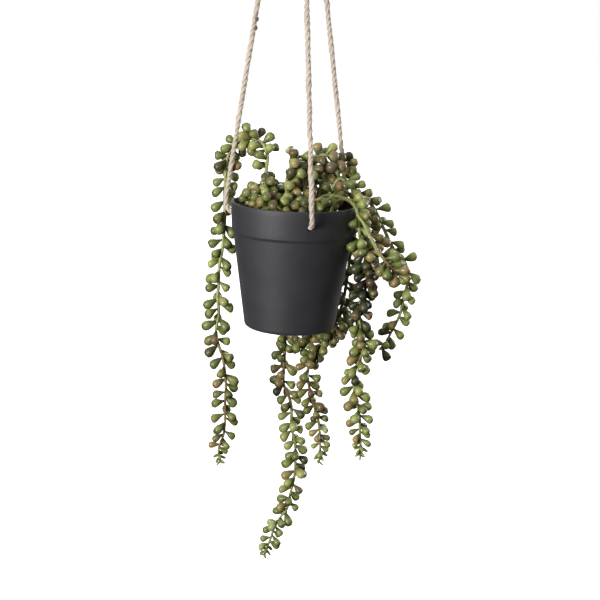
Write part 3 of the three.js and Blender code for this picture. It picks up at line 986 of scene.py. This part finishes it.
# %% Pearls along a stem
BUD_PART = 13 * MM  # length at the tip that bears buds instead
YOUNG_PART = 50 * MM  # length above the buds where pearls are still growing
YOUNG_SIZE = 0.76  # of the pearls beside the buds, on the usual stem
DARK_SHARE = 0.07  # of the pearls are burgundy all over
CROWD_PITCH = 0.5  # pitch where pearls are crowded, as a share of the usual one
CROWD_FLATNESS = 0.6
# Painted shade: tints so low that pearls in the pot's shadow are coloured nearly black.
POT_SHADOW_TINTS = (0, 0.1)
# Aged pearls are darker: partly their own age, partly painted shade.
AGED_AND_SHADE_TINTS = (0.14, 0.42)
AGED_BLUSH = 0.08  # more of it on aged pearls
BLUSH_SPREAD = 0.28
MOST_BLUSH = 0.9  # on pearls that aren't burgundy all over
SIZES = (0.88, 1.1)
LENGTHS = (0.95, 1.08)
DROOP = 0.28  # of a leaf, towards the stem's tip
DROOP_SPREAD = 0.12
TURN_SPREAD = 0.16
SINK = 0.12  # how much a leaf's own weight turns it down
NEXT_TRY = 1.7  # golden angles further round the stem
TRIES = 14
BALL_SHARES = np.array([0.38, 0.55, 0.72])
BALL_SIZES = np.array([0.48, 0.76, 0.98])


def height_of(points):
    """Height above the rim, in millimetres."""
    return (points[..., 2] + HANG_DROP) / MM


def within(height, limits):
    """True between the two limits."""
    return (height > limits[0]) & (height < limits[1])


def pearl_rows(strand, number, line, side, bare):
    """Finds room for each pearl and lists its root, direction, size and tints.

    `bare` is the length of line before the first pearl."""
    dice = np.random.default_rng(100 + number)
    along, first, second = directions(line, side)
    tip = length_of(line) - (BUD_PART if strand["buds"] else 0)
    young = strand["young"] if strand["buds"] else 1
    left, right, low, high = strand["crowded"]
    rows = []
    wanted = 0
    place = bare
    while place < tip:
        k = point_at(line, place)
        height = height_of(line[k])
        growth = young + (1 - young) * np.clip((tip - place) / YOUNG_PART, 0, 1)
        is_crowded = left < line[k, 0] / MM < right and low < height < high
        place += strand["pitch"] * MM * growth * (CROWD_PITCH if is_crowded else 1)
        flatness = strand["flatness"] * (CROWD_FLATNESS if is_crowded else 1)
        wanted += 1
        size = strand["size"] * growth * dice.uniform(*SIZES)
        length = PEARL_L * size * dice.uniform(*LENGTHS)
        radius = PEARL_R * size * growth**0.5  # young leaves are slim
        jitter = dice.normal(0, TURN_SPREAD)
        droop = dice.normal(DROOP, DROOP_SPREAD)
        is_aged = within(height, strand["aged"])
        tints = AGED_AND_SHADE_TINTS if is_aged else strand["tints"]
        # Painted shade: in the deep stretch, pearls get the nearly black tints of the pot's shadow.
        tint = dice.uniform(*(POT_SHADOW_TINTS if within(height, strand["deep"]) else tints))
        usual_blush = strand["blush"] + AGED_BLUSH * is_aged
        blush = np.clip(dice.normal(usual_blush, BLUSH_SPREAD), 0, MOST_BLUSH)
        if dice.random() < DARK_SHARE:
            blush = 1
        for attempt in range(TRIES):
            turn = (number + wanted + NEXT_TRY * attempt) * GOLDEN_ANGLE + jitter
            direction = around(turn, first[k], second[k]) + droop * along[k]
            direction = unit((direction - [0, 0, SINK]) * [1, flatness, 1])
            centres = line[k] + np.outer(BALL_SHARES * length, direction)
            radii = BALL_SIZES * radius
            if fits(centres, radii, strand["name"]):
                take(centres[-1:], radii[-1:], strand["name"], is_leaf=True)
                take(centres[:-1], radii[:-1], strand["name"])
                rows.append([*line[k], *direction, length, radius, tint, blush])
                break
    return np.array(rows), wanted


print("golden angle:", np.degrees(GOLDEN_ANGLE).round(1), "degrees, tries for each pearl:", TRIES)

# %% [markdown]
# A trailing stem ends in a rosette of small pointed leaves, the buds. One function joins the
# stem, its pearls, its buds and its side shoots in one piece.

# %% Leafy stem
BUDS = 9
BUD_LEAN = 0.6
BUD_SIZES = (9.5 * MM, 5.5 * MM)  # the first and the last
BUD_WIDTH = 0.19  # radius as a share of the length
BUD_TINT = 0.5
BUD_BLUSH = 0.3
SAG = (-0.06, 0.05)  # of a leaf's middle line, as a share of its length, and its spread
AGED_BROWN = 0.8  # how much of its green an aged stem has lost
FIRST_SHOOT = 50  # side shoots are numbered from here, for their seeds


def bud_rows(line, side):
    """Small leaves at the tip that point forwards, shorter and shorter."""
    along, first, second = directions(line, side)
    i = np.arange(BUDS)
    k = point_at(line, length_of(line) - BUD_PART * (1 - (i + 0.5) / BUDS))
    turn = (i * GOLDEN_ANGLE)[:, None]
    direction = unit(around(turn, first[k], second[k]) + BUD_LEAN * along[k])
    return line[k], direction, np.linspace(*BUD_SIZES, BUDS)


def leaf_parts(strand, number, line, radius, bare):
    """One line's stem, pearls and buds, and how many pearls found room."""
    side = unit(np.cross((line[-1] - line[0]) * [1, 1, 0], [0, 0, 1]))
    green = strand["green"] * (1 - AGED_BROWN * within(height_of(line), strand["aged"]))
    parts = [stem_skin(line, side, radius, green, seed=200 + number)]
    rows, wanted = pearl_rows(strand, number, line, side, bare)
    length, radii, tint, blush = rows[:, 6:].T
    dice = np.random.default_rng(500 + number)
    power = dice.uniform(*PEARL_POWERS, len(rows))
    sag = length[:, None] * dice.normal([0, 0, SAG[0]], SAG[1], (len(rows), 3))
    values = {"tint": tint, "blush": blush}
    parts.append(drops(rows[:, :3], rows[:, 3:6], length, radii, sag, power, NECK_R, values))
    if strand["buds"]:
        root, direction, length = bud_rows(line, side)
        values = {"tint": np.full(BUDS, BUD_TINT), "blush": np.full(BUDS, BUD_BLUSH)}
        still = np.zeros((BUDS, 3))
        egg = np.full(BUDS, BUD_POWER)
        parts.append(drops(root, direction, length, BUD_WIDTH * length, still, egg, 0, values))
    return parts, len(rows), wanted


def leafy_stem(strand, number, line):
    """The stem with its pearls and buds, then its side shoots, all in one piece."""
    name = strand["name"]
    made = [leaf_parts(strand, number, line, STEM_R, ROOT_DEPTH + strand["bare"] * MM)]
    shoot_looks = {**strand, "buds": False, "deep": (0, 0)}
    shoot_size = np.array(strand["shoot_size"]) * MM
    for k, shoot in enumerate(shoot_lines(strand)):
        made.append(leaf_parts(shoot_looks, number + FIRST_SHOOT + k, shoot, *shoot_size))
    parts, found, wanted = zip(*made)
    piece = make_piece(f"pearls_{name}", joined(sum(parts, [])))
    print(f"{name}: {sum(found)} of {sum(wanted)} pearls")
    return stand_for(piece, "pearls", name)


# %% [markdown]
# The stems differ in where they stand in the soil (`root`), how long they stay `bare`, how
# close their pearls sit (`pitch`), and in `size` and colours. `tints` runs from dark to pale
# green, `blush` is how red the pearls are, `green` how green the stem is. `flatness` is the
# share of their turn towards the viewer that pearls keep, and `young` the size of those beside
# the `buds`. Some stretches are special. The first three are given by their heights, and
# `crowded` ones by a range of x as well:
#
# - `crowded`: the pearls sit close together, as where the stem lies on others.
# - `deep`: painted shade: pearls in the pot's shadow under the rim, coloured nearly black.
# - `aged`: a brown stem with darker pearls; the pearls are darker partly with age and partly as painted
#   shade.
# - `in_sight`: the stem shows here, from one length after the soil to another.
#
# `shoots` are side branches, with their radius and bare length in `shoot_size`.

# %% Trailing stems
STRANDS = {
    "strand_left": {
        "root": (-29, -7), "tints": (0.14, 0.75), "pitch": 4.6, "size": 1.03, "blush": 0.12,
        "green": 0.95, "crowded": (-76, -28, 36, 66), "aged": (-262, -150),
        "route": [
            (-36, -5, 3), (-33, 0, 17), (-32, 3, 31), (-31, 7, 44), (-35, 10, 54), (-43, 13, 59),
            (-52, 17, 58), (-60, 21, 54), (-67, 23, 46), (-71, 24, 34), (-72, 24, 20), (-73, 25, 3),
            (-73, 25, -14), (-74, 25, -31), (-76, 24, -50), (-79, 23, -66), (-80, 22, -84),
            (-81, 21, -98), (-80, 20, -113), (-83, 20, -130), (-81, 20, -144), (-77, 20, -156),
            (-75, 20, -171), (-74, 20, -188), (-75, 19, -204), (-75, 19, -220), (-77, 18, -238),
            (-81, 18, -249), (-82, 18, -259), (-80, 18, -267),
        ],
    },
    "strand_back_long": {
        "root": (-7, 34), "pitch": 4, "size": 1.02, "blush": 0.28, "green": 0.6,
        "crowded": (-99, 99, -150, -116), "aged": (-226, -100), "young": 0.85, "tints": (0.14, 0.88),
        "route": [
            (-13, 46, 7), (-15, 58, 11), (-16, 67, 5), (-17, 72, -10), (-17, 73, -40), (-16, 72, -75),
            (-15, 71, -112), (-15, 70, -140), (-16, 70, -169), (-17, 70, -186), (-17, 70, -200),
            (-12, 70, -212), (-9, 70, -225), (-9, 70, -240), (-8, 70, -252), (-5, 70, -266),
            (-5, 70, -280), (-5, 70, -294), (-7, 70, -307), (-10, 70, -320), (-14, 70, -338),
            (-20, 70, -346), (-26, 70, -356), (-30, 70, -367), (-34, 70, -379), (-39, 70, -391),
        ],
    },
    "strand_back_short": {
        "root": (27, 23), "pitch": 3.6, "size": 0.98, "blush": 0.36, "green": 0.6,
        "crowded": (-99, 99, -166, -116), "aged": (-235, -100),
        "route": [
            (29, 25, 2), (38, 27, 8), (47, 28, 5), (52, 30, -6), (53, 32, -18), (53, 36, -32),
            (51, 40, -48), (49, 42, -66), (47, 44, -82), (45, 46, -97), (42, 48, -112), (38, 50, -125),
            (32, 52, -138), (23, 54, -151), (14, 56, -162), (9, 58, -175), (8, 58, -188), (10, 58, -203),
            (13, 58, -216), (18, 58, -230), (20, 58, -244), (21, 58, -257), (21, 58, -268),
            (20, 58, -281),
        ],
        "shoots": [
            [(30, 52, -141), (20, 54, -147), (10, 56, -148), (0, 59, -149), (-8, 62, -152)],
            [(42, 48, -112), (40, 42, -124), (34, 38, -134), (25, 37, -140)],
        ],
    },
    "strand_right_long": {
        "root": (32, -26), "bare": 42, "tints": (0.14, 0.75), "pitch": 3.5, "size": 1.02, "blush": 0.28,
        # Painted shade: the deep stretch beside the pot is coloured as the pot's shadow.
        "green": 0.85, "deep": (-110, -42), "aged": (-99, -46), "crowded": (-99, 99, -142, -28),
        "shoot_size": (1.5, 50), "shoot_in_sight": True, "in_sight": (2, 40),
        "route": [
            (33, -27, 4), (42, -27, 7), (50, -28, 2), (54, -29, -8), (55, -30, -20), (57, -29, -33),
            (61, -27, -46), (63, -25, -59), (63, -23, -72), (61, -21, -83), (57, -20, -94),
            (57, -20, -110), (58, -20, -123), (60, -20, -135), (58, -20, -146), (54, -20, -156),
            (52, -20, -166), (52, -20, -175), (54, -20, -186), (56, -20, -196), (58, -20, -207),
            (58, -20, -219), (59, -20, -232), (59, -20, -247),
        ],
        "shoots": [
            [
                (54, -29, -8), (58, -35, -13), (62, -40, -21), (67, -43, -30), (72, -44, -40),
                (77, -44, -46), (82, -43, -52), (87, -41, -57), (91, -38, -63),
            ],
        ],
    },
    "strand_right_outer": {
        "root": (25, 3), "bare": 12, "tints": (0.45, 1), "pitch": 4.5, "size": 0.97, "blush": 0.08,
        "green": 0.95, "buds": False,
        "route": [
            (30, 1, 12), (38, 0, 23), (49, 4, 14), (61, 8, 5), (71, 10, -7), (78, 12, -21), (84, 13, -34),
            (90, 14, -46), (97, 14, -54), (102, 14, -61), (105, 14, -70), (105, 14, -80), (103, 14, -89),
            (101, 14, -99), (99, 14, -109), (95, 14, -120), (90, 14, -130), (85, 13, -139),
            (78, 12, -148),
        ],
    },
    "strand_right_front": {
        "root": (14, -24), "bare": 62, "tints": (0.5, 0.9), "pitch": 3, "size": 1, "blush": 0.5,
        "green": 1, "buds": False, "aged": (-34, -6), "in_sight": (4, 56),
        "route": [
            (15, -24, 3), (22, -22, 9), (31, -20, 9), (42, -16, 6), (51, -12, 2), (57, -11, -5),
            (61, -10, -14), (64, -9, -23), (67, -9, -31), (71, -9, -39), (77, -9, -48), (82, -9, -56),
            (88, -9, -63), (95, -8, -67),
        ],
    },
}
print("trailing stems:", len(STRANDS))

# %% [markdown]
# Ten short stems lie over each other on the soil. Most of them look alike, so each lists only
# what is its own. The rest comes from the looks of its group, in the cell after this one.

# %% Stems of the heap
HEAP = {
    "heap_left_front": {
        "root": (-20, -22),
        "route": [(-27, -25, 4), (-33, -26, 10), (-39, -24, 10), (-45, -21, 5)],
    },
    "heap_rise_left": {
        "root": (-4, -25), "bare": 8, "blush": 0.5, "size": 1.06, "tints": (0.3, 0.85),
        "route": [(-11, -26, 6), (-13, -22, 20), (-10, -14, 31), (-6, -7, 39), (0, -2, 45)],
    },
    "heap_top": {
        "root": (8, -12), "bare": 8, "blush": 0.55, "tints": (0.75, 1), "pitch": 2.6, "size": 1.13,
        "route": [(4, -11, 10), (6, -9, 25), (10, -6, 38), (17, -3, 45), (25, -3, 45), (32, -5, 37)],
    },
    "heap_right": {
        "root": (22, 13), "bare": 8, "blush": 0.4, "tints": (0.5, 0.95), "in_sight": (22, 42),
        "route": [(18, 12, 6), (22, 10, 20), (29, 8, 33), (37, 6, 38), (44, 5, 34), (48, 5, 25)],
    },
    "heap_front": {
        "root": (4, -36), "tints": (0.13, 0.3),
        "route": [(2, -38, -4), (8, -40, 5), (18, -40, 9), (27, -37, 9), (33, -33, 15)],
    },
    "heap_left_back": {
        "root": (-19, 15),
        "route": [(-28, 18, 4), (-33, 24, 13), (-37, 32, 14), (-40, 40, 7)],
    },
    "heap_back": {
        "root": (12, 34),
        "route": [(8, 38, 2), (13, 44, 11), (21, 48, 12), (28, 50, 5)],
    },
    "heap_middle_left": {
        "root": (-15, -4), "size": 0.9,
        "route": [(-20, -5, 6), (-21, -8, 15), (-23, -14, 20), (-28, -18, 18)],
    },
    "heap_middle_back": {
        "root": (-2, 14),
        "route": [(-8, 15, 6), (-11, 18, 19), (-8, 22, 29), (0, 24, 34), (8, 23, 31)],
    },
    "heap_low_left": {
        "root": (-10, -38),
        "route": [(-17, -40, -2), (-24, -41, 4), (-32, -38, 7), (-40, -34, 5)],
    },
}
print("stems in the heap:", len(HEAP))

# %% Looks of the stems
USUAL_LOOKS = {
    "tints": (0.14, 1), "deep": (0, 0), "crowded": (0, 0, 0, 0), "aged": (0, 0), "in_sight": (0, 0),
    "shoots": [], "shoot_size": (1, 4), "shoot_in_sight": False,
}
TRAILING_LOOKS = {
    **USUAL_LOOKS, "bare": 14, "flatness": 0.42, "buds": True, "young": YOUNG_SIZE,
}
HEAP_LOOKS = {
    **USUAL_LOOKS, "bare": 6, "tints": (0.14, 0.6), "pitch": 1.8, "size": 0.96, "blush": 0.28,
    "green": 0.9, "flatness": 0.65, "buds": False,
}
strands = [
    {**usual, "name": name, **own}
    for usual, group in ((TRAILING_LOOKS, STRANDS), (HEAP_LOOKS, HEAP))
    for name, own in group.items()
]
stem_lines = [stem_line(strand["root"], strand["route"]) for strand in strands]
print("stems:", len(strands))

# %% [markdown]
# A grower would turn a few leaves aside, so that the plant looks airy and its best stems show.
# The list of taken room does that here. Invisible balls in front of a stem's stretch, towards
# the viewer, keep pearls from growing over it. Columns of balls along the view keep windows of
# daylight open beside the heap. Both are in the list before the first pearl looks for room.

# %% Room kept free
SIGHT_STEPS = MM * np.arange(5, 41, 5)
SIGHT_R = 2.6 * MM
TO_THE_FRONT = np.array([0, -0.98, 0.22])  # from the plant towards someone in front of it
WINDOWS = [(-18, 43, 7), (-19, 32, 5), (-16, 23, 4), (-50, 29, 6), (-41, 23, 4)]
WINDOW_STEPS = MM * np.arange(-80, 81, 4)


def take_stem(strand, line):
    """The room of a stem and its shoots, and the room in front of the part kept in sight."""
    take(line[::2], STEM_R, strand["name"])
    first, last = ((ROOT_DEPTH + np.array(strand["in_sight"]) * MM) / STEM_STEP).astype(int)
    seen = [line[first:last]]
    for shoot in shoot_lines(strand):
        take(shoot[::2], strand["shoot_size"][0] * MM, strand["name"])
        if strand["shoot_in_sight"]:
            seen.append(shoot)
    for nearer in SIGHT_STEPS:
        take(np.vstack(seen) + nearer * TO_THE_FRONT, SIGHT_R, "sight")


def take_window(x, height, radius):
    """A column of balls along the view, through a point above the pot's middle, all in mm."""
    middle = from_rim([x, 0, height])
    ray = unit(middle - CAMERA_PLACE)
    take(middle + np.outer(WINDOW_STEPS, ray), radius * MM, "sight")


for strand, line in zip(strands, stem_lines):
    take_stem(strand, line)
for window in WINDOWS:
    take_window(*window)
print("balls of taken room:", len(taken["radii"]))

# %% [markdown]
# Now the stems grow one by one, in the order of the list. The first to come gets the best
# room, as the oldest stems of a plant do.

# %% Grow the plant
plants = [
    leafy_stem(strand, number, line)
    for number, (strand, line) in enumerate(zip(strands, stem_lines))
]

# %% [markdown]
# ## Finishes
#
# Nothing here is one flat colour. The moulded pot is mottled, jute has streaks along its
# fibres, leaves vary from one to the next. A material is a tree of nodes, and each small
# function here adds one kind of node. A finish is a function of such a tree that returns what
# the shader's inputs are to be, so it reads like a recipe.

# %% Node helpers
def set_inputs(tree, node, inputs):
    """Sets inputs by name or number, each to a value or to another node's socket."""
    for key, value in inputs.items():
        if isinstance(value, bpy.types.NodeSocket):
            tree.links.new(value, node.inputs[key])
        else:
            node.inputs[key].default_value = value


def add_node(tree, kind, inputs=None, **settings):
    """A new node with its settings and inputs."""
    node = tree.nodes.new(kind)
    for key, value in settings.items():
        setattr(node, key, value)
    set_inputs(tree, node, inputs or {})
    return node


def coat(pieces, finish):
    """Makes the material of one finish, with the finish's name, and gives it to the pieces."""
    material = bpy.data.materials.new(finish.__name__)
    material.use_nodes = True
    tree = material.node_tree
    set_inputs(tree, tree.nodes["Principled BSDF"], finish(tree))
    for piece in pieces:
        piece.data.materials.clear()
        piece.data.materials.append(material)
    print(f"pieces with {finish.__name__}: {len(pieces)}")


def mix(tree, factor, first, second, kind="MIX"):
    """A colour mix: first where the factor is 0, second where it is 1."""
    inputs = {0: factor, 6: first, 7: second}
    return add_node(tree, "ShaderNodeMix", inputs, data_type="RGBA", blend_type=kind).outputs[2]


def spread(tree, value, low, high, to_low=0.0, to_high=1.0):
    """Maps low..high to to_low..to_high, with a smooth start and end."""
    inputs = {"Value": value, "From Min": low, "From Max": high, "To Min": to_low, "To Max": to_high}
    node = add_node(tree, "ShaderNodeMapRange", inputs, interpolation_type="SMOOTHSTEP")
    return node.outputs["Result"]


def sum_of(tree, first, second):
    """The first value plus the second."""
    return add_node(tree, "ShaderNodeMath", {0: first, 1: second}).outputs["Value"]


def product(tree, first, second):
    """The first value times the second."""
    node = add_node(tree, "ShaderNodeMath", {0: first, 1: second}, operation="MULTIPLY")
    return node.outputs["Value"]


def attribute(tree, name, field="Fac"):
    """What the mesh carries under this name, as a number or as a vector."""
    return add_node(tree, "ShaderNodeAttribute", attribute_name=name).outputs[field]


def noise(tree, place, scale, detail):
    """Cloudy noise from 0 to 1; a larger scale makes smaller clouds."""
    inputs = {"Vector": place, "Scale": scale, "Detail": detail}
    return add_node(tree, "ShaderNodeTexNoise", inputs).outputs["Fac"]


def colour(red, green, blue):
    """A colour as a painter's 0 to 255 values, turned into the linear ones Blender mixes."""
    share = np.array([red, green, blue]) / 255
    linear = np.where(share <= 0.04045, share / 12.92, ((share + 0.055) / 1.055) ** 2.4)
    return (*linear.tolist(), 1)


def colour_ramp(tree, factor, stops):
    """Colours along a scale, each at its place between 0 and 1."""
    node = add_node(tree, "ShaderNodeValToRGB", {"Fac": factor})
    ramp = node.color_ramp
    while len(ramp.elements) < len(stops):
        ramp.elements.new(1)
    for element, (place, paint) in zip(ramp.elements, stops):
        element.position = place
        element.color = colour(*paint)
    return node.outputs["Color"]


print("mid grey in linear light:", round(colour(128, 128, 128)[0], 3))

# %% [markdown]
# All the finishes need the same thing first: a soft, cloudy pattern in two sizes. It is made
# once, as a node group, and each material sets its own sizes. The group reads Object
# coordinates, so the pattern stays put on the piece.

# %% Cloudy pattern
def make_mottle():
    """Node group: clouds in two sizes, from the piece's own coordinates."""
    group = bpy.data.node_groups.new("mottle", "ShaderNodeTree")
    new_socket = group.interface.new_socket
    inside = add_node(group, "NodeGroupInput")
    outside = add_node(group, "NodeGroupOutput")
    place = add_node(group, "ShaderNodeTexCoord").outputs["Object"]
    for name, scale, detail in (("Clouds", 60, 3), ("Grain", 900, 5)):
        socket = new_socket(f"{name} Scale", in_out="INPUT", socket_type="NodeSocketFloat")
        socket.default_value = scale
        new_socket(name, in_out="OUTPUT", socket_type="NodeSocketFloat")
        pattern = noise(group, place, inside.outputs[f"{name} Scale"], detail)
        set_inputs(group, outside, {name: pattern})
    return group


MOTTLE = make_mottle()


def mottle(tree, cloud_scale, grain_scale):
    """The group's two patterns, clouds and grain, at these scales."""
    scales = {"Clouds Scale": cloud_scale, "Grain Scale": grain_scale}
    node = add_node(tree, "ShaderNodeGroup", scales, node_tree=MOTTLE)
    return node.outputs["Clouds"], node.outputs["Grain"]


def grained(tree, grain, roughness, strength, depth):
    """Roughness from one value to another, and a bump of that depth, with the same grain."""
    inputs = {"Height": grain, "Strength": strength, "Distance": depth}
    return {
        "Roughness": spread(tree, grain, 0.3, 0.7, *roughness),
        "Normal": add_node(tree, "ShaderNodeBump", inputs).outputs["Normal"],
    }


print("nodes in the group:", len(MOTTLE.nodes))

# %% [markdown]
# The pot is matt plastic with a fine, sandy grain. One grey would look like a cut-out, and a
# picture of plastic would show its seam. So soft clouds mix two greys, a few pale specks are
# sown, and the grain sets both the roughness and a shallow bump.

# %% Pot finish
def matt_charcoal(tree):
    """Two charcoals, and pale specks where a second pattern peaks."""
    clouds, grain = mottle(tree, 45, 1400)
    base = mix(tree, spread(tree, clouds, 0.3, 0.7), colour(38, 37, 41), colour(43, 42, 46))
    speck = spread(tree, mottle(tree, 420, 700)[0], 0.74, 0.8, 0, 0.5)
    return {
        "Base Color": mix(tree, speck, base, colour(112, 110, 112)),
        **grained(tree, grain, (0.5, 0.66), 0.35, 0.15 * MM),
        "Sheen Weight": 0.12,
        "Sheen Roughness": 0.4,
    }


coat([pot], matt_charcoal)

# %% [markdown]
# Jute is pale straw, streaked along its fibres, and its grooves are painted darker as the shade
# between the plies. Noise that is squeezed in one direction gives streaks, but that direction has
# to be the cord's own. So the noise reads the `fibre` attribute: where a point lies round the
# cord, and how far along it.

# %% Jute finish
def twisted_jute(tree):
    """Streaks of noise, ten times as long as wide, that fade into grooves painted dark as shade.

    The `crown` attribute is 1 on a ply's crest, 0 in a groove and -1 on a scrap of bark."""
    fibre = attribute(tree, "fibre", "Vector")
    drawn_out = add_node(tree, "ShaderNodeMapping", {"Vector": fibre, "Scale": (2600, 2600, 260)})
    streaks = noise(tree, drawn_out.outputs["Vector"], 1, 4)
    clouds, _ = mottle(tree, 38, 500)
    cloudy = spread(tree, clouds, 0.38, 0.62)
    pale = mix(tree, cloudy, colour(184, 171, 158), colour(202, 189, 177))
    streaked = mix(tree, spread(tree, streaks, 0.3, 0.62), colour(180, 165, 148), pale)
    crown = attribute(tree, "crown")
    # Painted shade: the grooves between the plies are coloured darker.
    groove_shaded = mix(tree, spread(tree, crown, 0, 0.55), colour(176, 160, 142), streaked)
    bark = spread(tree, crown, -1, -0.3, 1, 0)
    return {
        "Base Color": mix(tree, bark, groove_shaded, colour(98, 80, 70)),
        **grained(tree, streaks, (0.95, 0.78), 0.8, 0.4 * MM),
        "Specular IOR Level": 0.2,
        "Sheen Weight": 0.5,
        "Sheen Roughness": 0.6,
        "Sheen Tint": colour(240, 226, 208),
    }


coat([*cords.values(), *stoppers.values(), gathering_knot, hanging_loop], twisted_jute)

# %% [markdown]
# The leaves of a plant differ in green, and sun and age turn some of them red-brown. A
# material for each kind of leaf would give a few kinds. One material that reads what was drawn
# for each leaf, its `tint` and `blush`, gives every leaf its own colour. Clouds break up the
# blush, so that it lies in patches as sunburn does. Shade is painted into the leaves as well:
# pearls in the pot's shadow are nearly black, and necks and tips are darkened, partly as their
# own colour and partly as painted shade.

# %% Leaf finish
# The first two stops, up to 0.12, are painted shade: the nearly black green of pearls in the pot's
# shadow.
GREENS_AND_PAINTED_SHADE = (
    (0, (40, 46, 24)), (0.12, (60, 68, 32)), (0.14, (92, 102, 47)), (0.5, (125, 135, 70)),
    (0.8, (158, 164, 98)), (1, (116, 138, 98)),
)


def pearl_skin(tree):
    """Olive greens under a brown-red blush, which shows where clouds plus 0.6 blush is high.

    `along` is 0 on stems and 1 at a pearl's tip. Necks are darker: partly the leaf's own deeper
    green, partly painted shade where a pearl meets its stem. Tips are dark, most of all on dark
    pearls: partly browned tips, partly painted shade. The lowest tints are painted shade, nearly
    black, for pearls in the pot's shadow. The reddest pearls are burgundy all over."""
    along, tint, blush = (attribute(tree, name) for name in ("along", "tint", "blush"))
    clouds, grain = mottle(tree, 240, 1600)
    pale_spots = product(tree, spread(tree, clouds, 0.42, 0.68), tint)
    mottled = mix(tree, pale_spots, colour_ramp(tree, tint, GREENS_AND_PAINTED_SHADE), colour(154, 156, 94))
    # Necks are multiplied darker: partly the leaf's deeper green, partly painted shade where the pearl
    # meets its stem.
    neck = spread(tree, along, 0.12, 0.72, 1, 0)
    neck_green_and_shade = mix(tree, neck, mottled, colour(148, 158, 104), "MULTIPLY")
    # Tips are darkened, most on low tints: partly browned tips, partly painted shade.
    tip_brown_and_shade_share = spread(tree, tint, 0.25, 0.7, 0.85, 0.15)
    tip = product(tree, spread(tree, along, 0.74, 1), tip_brown_and_shade_share)
    tip_brown_and_shade = mix(tree, tip, neck_green_and_shade, colour(56, 46, 32))
    stem = mix(tree, tint, colour(116, 92, 62), colour(142, 148, 86))
    skin = mix(tree, spread(tree, along, 0.02, 0.12), stem, tip_brown_and_shade)
    patch = spread(tree, sum_of(tree, clouds, product(tree, blush, 0.6)), 0.74, 1.0)
    outer = spread(tree, along, 0.1, 0.6, 0.5, 1)
    reddest = spread(tree, blush, 0.65, 1)
    burnt = mix(tree, reddest, colour(146, 110, 74), colour(40, 26, 24))
    share = product(tree, product(tree, patch, outer), 0.85)
    return {
        "Base Color": mix(tree, share, skin, burnt),
        **grained(tree, grain, (0.3, 0.46), 0.25, 0.2 * MM),
    }


coat(plants, pearl_skin)

# %% [markdown]
# Soil is dark, and its crumbs catch the light. Little of it shows between the stems, so two
# browns, mixed by clouds, and a rough, deep bump are enough.

# %% Soil finish
def potting_soil(tree):
    """Dark brown, lighter on some crumbs, rough all over."""
    clouds, grain = mottle(tree, 260, 1200)
    lighter = spread(tree, clouds, 0.35, 0.68)
    return {
        "Base Color": mix(tree, lighter, colour(40, 30, 23), colour(86, 66, 48)),
        **grained(tree, grain, (0.98, 0.85), 0.9, 0.8 * MM),
    }


coat([soil], potting_soil)

# %% [markdown]
# ## Floor and light
#
# The floor lies far below, so that no hard shadow shows behind the plant. Light comes from one
# large soft lamp at the front left. Three weak ones at the front right, the right and the back
# keep the far sides from going black.

# %% Floor and light
FLOOR_Z = -1.6
FLOOR_SIZE = 30
AIM = Vector((0, 0, -0.5))
LAMPS = {  # place, size in metres and watts
    "key_lamp": ((-1.4, -1.67, -0.25), 0.7, 63),
    "fill_lamp": ((0.9, -2, 0.3), 0.9, 4),
    "side_lamp": ((1.5, 1, -0.2), 0.7, 20),
    "back_lamp": ((-0.2, 1.9, 0.1), 1, 18),
}


def pale_floor(_):
    """White that shines by itself, so that it is as pale as the light behind it."""
    return {
        "Base Color": (0.9, 0.9, 0.9, 1),
        "Roughness": 0.9,
        "Emission Color": (1, 1, 1, 1),
        "Emission Strength": 1,
    }


def make_floor():
    """One square that sends no light of its own onto the plant."""
    corners = np.array([[-1, -1, 0], [1, -1, 0], [1, 1, 0], [-1, 1, 0]]) * FLOOR_SIZE / 2
    mesh = bpy.data.meshes.new("floor")
    mesh.from_pydata((corners + [0, 0, FLOOR_Z]).tolist(), [], [[0, 1, 2, 3]])
    floor = bpy.data.objects.new("floor", mesh)
    bpy.context.collection.objects.link(floor)
    coat([floor], pale_floor)
    floor.visible_diffuse = False
    floor.visible_glossy = False


def make_lamp(name, place, size, watts):
    """A square soft lamp that faces the plant."""
    lamp = bpy.data.objects.new(name, bpy.data.lights.new(name, "AREA"))
    lamp.data.energy = watts
    lamp.data.size = size
    lamp.location = place
    lamp.rotation_euler = (AIM - Vector(place)).to_track_quat("-Z", "Y").to_euler()
    bpy.context.collection.objects.link(lamp)


def make_sky():
    """Even white light, brighter from above than from below."""
    world = bpy.data.worlds.new("studio")
    bpy.context.scene.world = world
    world.use_nodes = True
    tree = world.node_tree
    place = add_node(tree, "ShaderNodeTexCoord").outputs["Generated"]
    height = add_node(tree, "ShaderNodeSeparateXYZ", {0: place}).outputs["Z"]
    light = spread(tree, height, -0.1, 1, 0.02, 1)
    seen = add_node(tree, "ShaderNodeLightPath").outputs["Is Camera Ray"]
    set_inputs(tree, tree.nodes["Background"], {"Color": mix(tree, seen, light, (1, 1, 1, 1))})


make_floor()
for name, settings in LAMPS.items():
    make_lamp(name, *settings)
make_sky()
bpy.context.scene.view_settings.view_transform = "Standard"
print("lamps:", len(LAMPS))
